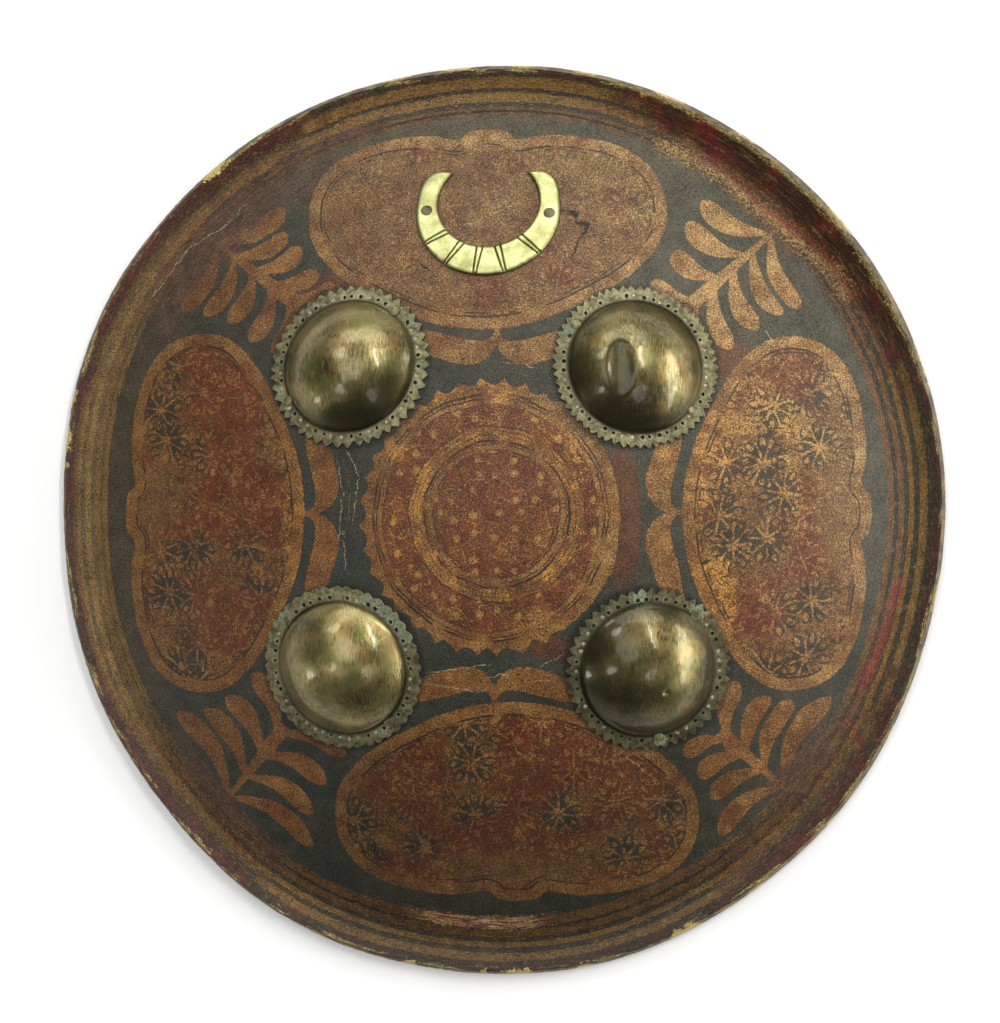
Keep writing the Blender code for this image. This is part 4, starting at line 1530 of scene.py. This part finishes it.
def boss_points(boss, rng, pierced, plugs):
    """Points between the outline and the holes of a boss: rings of them, closer at the dome's foot."""
    middles = [hole.mean(0) for hole in pierced]
    spots = [(0.0, 0.0)]
    radius = RING_SPACING
    while radius < boss.tip_radius - boss.tooth - 0.0003:
        count = max(int(math.tau * radius / POINT_SPACING), 6)
        shift = rng.uniform(0, 1)
        for i in range(count):
            angle = math.tau * (i + shift) / count
            p = np.array([radius * math.cos(angle), radius * math.sin(angle)])
            if radius <= 0.0335 or min(np.linalg.norm(p - middle) for middle in middles) >= 0.00145:
                spots.append(tuple(p))
        radius += RING_SPACING if radius < 0.029 or radius > 0.0345 else FINE_RING_SPACING
    for hole in plugs:
        middle = hole.mean(0)
        for share in (1.0, 0.72, 0.4):
            spots += [tuple(middle + (p - middle) * share) for p in hole]
        spots.append(tuple(middle))
    return spots


def dome_rise(boss, out):
    """Height of the dome's outer face over the flange, at a distance from its axis."""
    foot = boss.dome_radius + boss.wall * 0.55
    rise = boss.dome_height
    curve = (foot**2 + rise**2) / (2 * rise)
    cap = np.sqrt(np.maximum(curve**2 - out**2, 0)) - (curve - rise)
    past = (foot - out) * foot / (curve - rise)
    cap = np.where(out > foot * 0.985, past, cap)
    soft = 0.0014
    return (cap + np.hypot(cap, soft)) / 2


def boss_relief(boss, name, sheet, out):
    """Height of each point of a boss over its flange, with the dent, the pit and the beating."""
    rise = dome_rise(boss, out)
    if name == "upper_right":
        push = 1 - oval(sheet, *DENT) ** 2
        rise = rise - DENT_DEPTH * (push + np.hypot(push, 0.14)) / 2
    if name == "lower_right":
        x, y, half, deep = PIT
        away = np.hypot(sheet[:, 0] - x, sheet[:, 1] - y) / half
        rise = rise - deep * np.exp(-(away**2)) + 0.0002 * np.exp(-(((away - 1.7) / 0.5) ** 2))
    lumps = sum(h * np.sin(sheet[:, 0] * a + sheet[:, 1] * b + c) for a, b, c, h in DOME_LUMPS)
    return rise + lumps * (rise > 0.002)


def boss_corrosion(name, sheet, out):
    """1 in the middle of the green corrosion on a flange."""
    corroded = np.zeros(len(sheet))
    for direction, far, half in VERDIGRIS[name]:
        x, y = far * MM * toward(direction)
        away = np.hypot(sheet[:, 0] - x, sheet[:, 1] - y) / (half * MM)
        corroded = np.maximum(corroded, np.exp(-(away**2)))
    return corroded * np.clip((out - 0.0330) / 0.001, 0, 1)


def boss_grime_and_shade(boss, name, sheet, out, edge):
    """How dark each point of a dome is painted: grime all over, and painted shade on one side, towards the
    foot and in the dent with its rim.
    """
    direction, strength, even = GRIME_AND_SHADE[name]
    # Painted shade: the side turned from the light, the foot of the dome, the dent and its rim.
    grime_and_shade = strength * np.clip(sheet @ toward(direction) / boss.dome_radius + 0.1, 0, 1) ** 1.3
    grime_and_shade = grime_and_shade + 0.35 * np.clip((out - 0.0265) / 0.006, 0, 1)
    grime_and_shade = even + grime_and_shade * (1 - edge)
    if name == "upper_right":
        away = oval(sheet, *DENT)
        grime_and_shade = grime_and_shade + 0.5 * np.clip(6 - 6 * away, 0, 1) + 0.5 * np.exp(-(((away - 1) / 0.09) ** 2))
    return grime_and_shade


def make_boss(boss, name, material):
    """A beaten sheet with its teeth and pierced holes, raised into a dome."""
    teeth, tooth_depth, roundness, hole_count = BOSSES[name]
    rng = np.random.default_rng(teeth * 7 + hole_count)
    flat = Flat(*middle_of(f"boss_{name}"))
    rivets = [flat.find(f"rivet_{name}_{letter}") for letter in "ab"]
    outline = boss_outline(boss, rng, teeth, tooth_depth, roundness)
    pierced = boss_holes(boss, rng, hole_count, rivets)
    clogged = rng.uniform(0, 1, len(pierced)) < CLOGGED
    plugs = [hole for hole, full in zip(pierced, clogged) if full]
    open_holes = [hole for hole, full in zip(pierced, clogged) if not full]
    sheet, faces = sheet_faces(boss_points(boss, rng, pierced, plugs), outline, open_holes)
    residue, lip = np.zeros((2, len(sheet)))
    for holes, field, reach in ((plugs, residue, 0.95), (open_holes, lip, 1.02)):
        for hole in holes:
            radii = np.linalg.norm(hole - hole.mean(0), axis=1)
            radius = radii.min() if field is residue else radii.max()
            field[np.linalg.norm(sheet - hole.mean(0), axis=1) < reach * radius] = 1
    out = np.hypot(sheet[:, 0], sheet[:, 1])
    corroded = boss_corrosion(name, sheet, out)
    rise = boss_relief(boss, name, sheet, out)
    rise = rise + 0.0004 * corroded * rng.uniform(0, 1, len(sheet)) - 0.0003 * residue
    base = flat.rest(sheet, GAP + boss.wall - 0.00015)
    # The dome stands on the ring of its foot, not on the hide's bulge inside that ring.
    ring = sheet / np.maximum(out, 1e-9)[:, None] * boss.dome_radius
    level = (flat.rest(ring, GAP + boss.wall - 0.0003) - flat.middle) @ flat.up
    share = np.minimum(out / boss.dome_radius, 1)
    inner = level.mean() + (level - level.mean()) * share**2
    height = (base - flat.middle) @ flat.up
    rise = rise + np.where(out < boss.dome_radius, inner - height, 0.0)
    top = base + np.outer(rise, flat.up)
    under = top - sheet_normals(top, faces) * (boss.wall * 0.97)
    points, closed = close_sheet(top, under, faces)
    made = new_piece(f"boss_{name}_brass", points, closed, [material], [f"boss_{name}"])
    made.data.set_sharp_from_angle(angle=math.radians(50))
    edge = np.clip((out - FLANGE_START) / 0.0012, 0, 1)
    fields = {
        "flange": edge,
        "verdigris": corroded,
        "foot": np.exp(-(((out - FLANGE_START) / 0.0010) ** 2)),
        "residue": residue,
        "grime_and_shade": boss_grime_and_shade(boss, name, sheet, out, edge),
        "hole_rim_highlight": lip,
    }
    keep_fields(made, fields, 2)


# Pairs of lines cut across the crescent: the direction of each pair, and how far its lines stand apart.
GROOVES = (211, 236, 262, 286, 318)
GROOVE_APART = 0.0026
# Notches filed in its outer edge: direction, and depth in mm before the file's slope.
NOTCHES = ((226, 0.5), (233, 0.35), (262, 0.3), (279, 0.45), (301, 0.4), (307, 0.3))
CRESCENT_HOLE = 0.00285
CRESCENT_SPACING = 0.00075


def crescent_outline(crescent):
    """The flat outline, horns up, with the notches filed in its edge."""
    tip = np.array([0.0184, 0.0213])
    shoulder = np.array([0.0255, 0.0192])
    start = np.array([crescent.radius, 0.0])
    turns = np.radians(np.linspace(180, 360, 150))
    outer = circle(turns, crescent.radius)
    for turn, depth in NOTCHES:
        away = (np.degrees(turns) - turn) / 0.9
        outer *= (1 - depth * MM * 0.8 / crescent.radius * np.exp(-(away**2)))[:, None]
    lean = np.array([crescent.radius, 2 * shoulder[1] - (start[1] + tip[1]) / 2])
    t = np.linspace(0, 1, 26)[1:, None]
    horn = (1 - t) ** 2 * start + 2 * t * (1 - t) * lean + t**2 * tip
    low = math.degrees(math.atan2(tip[1] - crescent.inner_rise, tip[0]))
    turns = np.radians(np.linspace(low, -180 - low, 150))[1:-1]
    inner = circle(turns, crescent.inner_radius)
    inner[:, 1] += crescent.inner_rise
    mirrored = (horn * [-1, 1])[::-1]
    return np.vstack([outer, horn, inner, mirrored[:-1]])


def groove_depth(spots, crescent):
    """How deep in a cut line each spot is, from 0 to 1."""
    deep = np.zeros(len(spots))
    for turn in GROOVES:
        way = toward(turn)
        out = spots @ way
        aside = spots @ np.array([-way[1], way[0]])
        for side in (-0.5, 0.5):
            wander = side * GROOVE_APART * (0.55 + 0.45 * (crescent.radius - out) / 0.012)
            deep = np.maximum(deep, np.clip(1 - np.abs(aside - wander) / 0.0006, 0, 1) * (out > 0))
    return deep


def crescent_points(outline, rivets):
    """Points between the outline and the holes of the crescent, closer along its cut lines."""
    span = np.arange(-0.037, 0.037, CRESCENT_SPACING)
    grid = [(x + CRESCENT_SPACING / 2 * (i % 2), y) for i, y in enumerate(span) for x in span]
    for turn in GROOVES:
        way = toward(turn)
        across = np.array([-way[1], way[0]])
        for offset in np.arange(-0.0022, 0.00221, 0.00021):
            grid += [way * out + across * offset for out in np.arange(0.018, 0.036, 0.0005)]
    grid = np.array(grid)
    keep = inside_depth(grid, outline) > 0.0004
    for spot in rivets:
        keep &= np.linalg.norm(grid - spot, axis=1) > 0.0033
    spots = [tuple(p) for p in grid[keep]]
    way = np.roll(outline, -1, 0) - np.roll(outline, 1, 0)
    way /= np.linalg.norm(way, axis=1, keepdims=True)
    normal = np.stack([-way[:, 1], way[:, 0]], 1)
    for inward in (0.00018, 0.00042):
        inset = outline + normal * inward
        spots += [tuple(p) for p in inset[inside_depth(inset, outline) > inward * 0.8]]
    return spots


def make_crescent(crescent, material):
    """A cut plate with filed edges that lies on the hide."""
    low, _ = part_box("crescent")
    middle = middle_of("crescent")
    flat = Flat(middle[0], low.y + crescent.radius * hide_normal(*middle)[2])
    rivets = [flat.find(f"rivet_crescent_{side}") for side in ("left", "right")]
    outline = crescent_outline(crescent)
    holes = [circle(full_turn(20), CRESCENT_HOLE) + spot for spot in rivets]
    sheet, faces = sheet_faces(crescent_points(outline, rivets), outline, holes)
    deep = groove_depth(sheet, crescent)
    edge = inside_depth(sheet, outline)
    worn = 0.0007 * np.clip(1 - edge / 0.0011, 0, 1) ** 2
    out = np.hypot(sheet[:, 0], sheet[:, 1])
    bevel = 0.0005 * np.clip((out - 0.0315) / 0.004, 0, 1) ** 1.5
    lumps = 0.00008 * np.sin(sheet[:, 0] * 420 + 1) * np.sin(sheet[:, 1] * 380)
    lift = GAP + crescent.thickness - 0.0001 - worn - bevel - deep * crescent.groove + lumps
    top = flat.rest(sheet, lift)
    under = flat.rest(sheet, np.full(len(sheet), GAP))
    points, closed = close_sheet(top, under, faces)
    made = new_piece("crescent_brass", points, closed, [material], ["crescent"])
    made.data.set_sharp_from_angle(angle=math.radians(60))
    keep_fields(made, {"groove": deep, "edge": np.clip(1 - edge / 0.0016, 0, 1)}, 2)


# ---- rivets -------------------------------------------------------------------------------------

# Turned profiles, as radius and height: each head over the top of its brass, and the tail that is
# spread behind the hide.
BOSS_RIVET_HEAD = (
    (0, 0.00038), (0.0011, 0.00036), (0.0018, 0.0003), (0.0020, 0.0002), (0.0021, 0.00012),
    (0.0022, 0.0002), (0.0024, 0.00022), (0.0025, 0.0001), (0.0025, -0.0001), (0.0010, -0.0001),
)
CRESCENT_RIVET_HEAD = (
    (0, 0.0001), (0.0013, 0.00006), (0.0024, 0), (0.0027, -0.0002), (0.0010, -0.0020),
)
RIVET_TAIL = (
    (0.0010, -0.0004), (0.0021, -0.0005), (0.0023, -0.0009), (0.0018, -0.0015), (0.0009, -0.0018),
    (0, -0.0018),
)


def make_rivet(name, head, top, material, steps=28, faceted=False):
    """A turned rivet standing on the hide, its head at the height top."""
    flat = Flat(*middle_of(name))
    profile = [(radius, top + height) for radius, height in head]
    profile += [(radius, height - HIDE_THICKNESS) for radius, height in RIVET_TAIL]
    points, faces, rings = [], [], []
    for radius, height in profile:
        count = 1 if radius == 0 else steps
        turns = full_turn(count)
        if faceted and radius > 0.0015:
            radius = radius * (1 + 0.05 * np.cos(6 * turns))
        start = len(points)
        points += list(flat.spread(circle(turns, radius)) + flat.up * height)
        rings.append(list(range(start, start + count)))
    for upper, lower in zip(rings, rings[1:]):
        if len(upper) == 1:
            faces += [(upper[0], lower[i], lower[(i + 1) % steps]) for i in range(steps)]
        elif len(lower) == 1:
            faces += [(lower[0], upper[(i + 1) % steps], upper[i]) for i in range(steps)]
        else:
            bridge(lower, upper, faces)
    made = new_piece(f"{name}_turned", points, faces, [material], [name])
    made.data.set_sharp_from_angle(angle=math.radians(40))
    plain = np.zeros(len(points))
    keep_fields(made, {"flange": plain + 1, "verdigris": plain, "foot": plain, "residue": plain})


# ---- floor, lights and camera -------------------------------------------------------------------


FLOOR_HALF = 6.0
# Name, place, size, power and warmth of each light panel.
LIGHT_PANELS = (
    ("ceiling", (-0.45, 0.45, 2.2), (1.4, 1.4), 13, 0),
    ("strip_right", (1.06, 1.33, 2.0), (0.22, 1.6), 26, 0.04),
    ("lamp_right", (0.73, -0.81, 2.0), (0.6, 0.8), 4, 0),
    ("lamp_far", (-1.30, 1.80, 2.0), (0.6, 0.8), 12, 0),
    ("lamp_left", (-1.30, -0.65, 2.0), (0.45, 0.5), 5, 0),
    ("window", (1.91, 0.07, 0.58), (0.6, 2.6), 38, 0.07),
    ("far_panel", (0.07, 1.94, 1.03), (2.5, 0.9), 20, 0),
    ("low_window", (-1.78, -0.72, 0.55), (0.35, 0.25), 3, 0),
)


def floor_material():
    nodes = MaterialNodes("studio_floor")
    place = nodes.place
    tint = nodes.noise(place, 0.002, 2.0)
    colour = nodes.mix(tint, (0.9, 0.9, 0.9, 1.0), (0.93, 0.93, 0.93, 1.0))
    away = nodes.vector("LENGTH", place)
    # The floor turns grey further out, which darkens what the brass reflects; far out it glows, which is
    # painted light, as no lamp is there.
    colour = colour.mix(away.step(500.0, 1100.0), (0.66, 0.66, 0.66, 1.0))
    glow = nodes.mix(away.step(1100.0, 3000.0), (0, 0, 0, 1), (0.62, 0.62, 0.62, 1))
    return nodes.finish(Base_Color=colour, Roughness=0.8, Emission_Color=glow, Emission_Strength=1.0)


def face(thing, way):
    """Turns a lamp or camera to look back along way, its own up towards the crescent."""
    across = Vector((0, 1, 0)).cross(way).normalized()
    turned = Matrix((across, way.cross(across), way)).transposed()
    thing.rotation_euler = turned.to_euler()


def add_panel(name, place, size, power, warmth):
    """A soft light panel that faces the shield from place."""
    data = bpy.data.lights.new(name, "AREA")
    data.shape = "ELLIPSE"
    data.size, data.size_y = size
    data.energy = power
    data.color = (1.0, 1.0 - 0.3 * warmth, 1.0 - warmth)
    lamp = add_object(name, data)
    lamp.location = place
    face(lamp, Vector(place).normalized())


def add_world(strength):
    world = bpy.data.worlds.new("studio_sky")
    world.use_nodes = True
    nodes = Nodes(world.node_tree)
    background = world.node_tree.nodes["Background"]
    _, _, height = nodes.split(nodes.wire("TexCoord", {}, "Generated"))
    colour = nodes.mix(height.step(0.02, 0.18), (0.7, 0.7, 0.7, 1), (0.17, 0.17, 0.165, 1))
    nodes.feed(background.inputs["Color"], colour)
    background.inputs["Strength"].default_value = strength
    bpy.context.scene.world = world


def add_camera(stage):
    data = bpy.data.cameras.new("camera")
    data.lens = stage.lens
    data.sensor_width = 36.0
    camera = add_object("camera", data)
    way = Vector((math.sin(stage.lean), 0.0009, math.cos(stage.lean))).normalized()
    camera.location = Vector((0.0012, 0.0044, 0.010)) + way * stage.distance
    face(camera, way)
    bpy.context.scene.camera = camera


# ---- operators and panel ------------------------------------------------------------------------


class DHAL_OT_hide(bpy.types.Operator):
    """Builds the painted hide"""

    bl_idname = "dhal.hide"
    bl_label = "Build Hide"

    def execute(self, context):
        make_hide(context.scene.dhal_paint, context.scene.dhal_hide)
        return {"FINISHED"}


class DHAL_OT_bosses(bpy.types.Operator):
    """Builds the four brass bosses"""

    bl_idname = "dhal.bosses"
    bl_label = "Build Bosses"

    def execute(self, context):
        boss = context.scene.dhal_boss
        material = old_brass_material(boss)
        for name in BOSSES:
            make_boss(boss, name, material)
            for letter in "ab":
                rivet, top = f"rivet_{name}_{letter}", 2 * GAP + boss.wall
                make_rivet(rivet, BOSS_RIVET_HEAD, top, material)
        return {"FINISHED"}


class DHAL_OT_crescent(bpy.types.Operator):
    """Builds the crescent and its rivets"""

    bl_idname = "dhal.crescent"
    bl_label = "Build Crescent"

    def execute(self, context):
        crescent = context.scene.dhal_crescent
        make_crescent(crescent, bright_brass_material(crescent))
        iron = iron_material()
        for side in ("left", "right"):
            rivet, top = f"rivet_crescent_{side}", GAP + crescent.thickness
            make_rivet(rivet, CRESCENT_RIVET_HEAD, top, iron, 24, True)
        return {"FINISHED"}


class DHAL_OT_stage(bpy.types.Operator):
    """Builds the floor, the lights and the camera"""

    bl_idname = "dhal.stage"
    bl_label = "Build Stage"

    def execute(self, context):
        stage = context.scene.dhal_stage
        mesh = bpy.data.meshes.new("floor")
        corners = [(x * FLOOR_HALF, y * FLOOR_HALF, 0) for x, y in ((-1, -1), (1, -1), (1, 1), (-1, 1))]
        mesh.from_pydata(corners, [], [(0, 1, 2, 3)])
        mesh.materials.append(floor_material())
        add_object("floor", mesh)
        for panel in LIGHT_PANELS:
            add_panel(*panel)
        add_world(stage.sky)
        add_camera(stage)
        context.scene.view_settings.view_transform = "Standard"
        context.scene.view_settings.look = "None"
        return {"FINISHED"}


class DHAL_PT_panel(bpy.types.Panel):
    """Buttons for the dhal"""

    bl_idname = "DHAL_PT_panel"
    bl_label = "Dhal"
    bl_space_type = "VIEW_3D"
    bl_region_type = "UI"
    bl_category = "Dhal"

    def draw(self, context):
        for operator in OPERATORS:
            self.layout.operator(operator.bl_idname)


OPERATORS = (DHAL_OT_hide, DHAL_OT_bosses, DHAL_OT_crescent, DHAL_OT_stage)
SETTINGS = {
    "dhal_paint": PaintSettings,
    "dhal_hide": HideSettings,
    "dhal_boss": BossSettings,
    "dhal_crescent": CrescentSettings,
    "dhal_stage": StageSettings,
}
CLASSES = (*SETTINGS.values(), *OPERATORS, DHAL_PT_panel)


def register():
    for made in CLASSES:
        bpy.utils.register_class(made)
    for name, kind in SETTINGS.items():
        setattr(bpy.types.Scene, name, PointerProperty(type=kind))


def unregister():
    for name in SETTINGS:
        delattr(bpy.types.Scene, name)
    for made in reversed(CLASSES):
        bpy.utils.unregister_class(made)


def main():
    register()
    bpy.ops.dhal.hide()
    bpy.ops.dhal.bosses()
    bpy.ops.dhal.crescent()
    bpy.ops.dhal.stage()


if __name__ == "__main__":
    main()
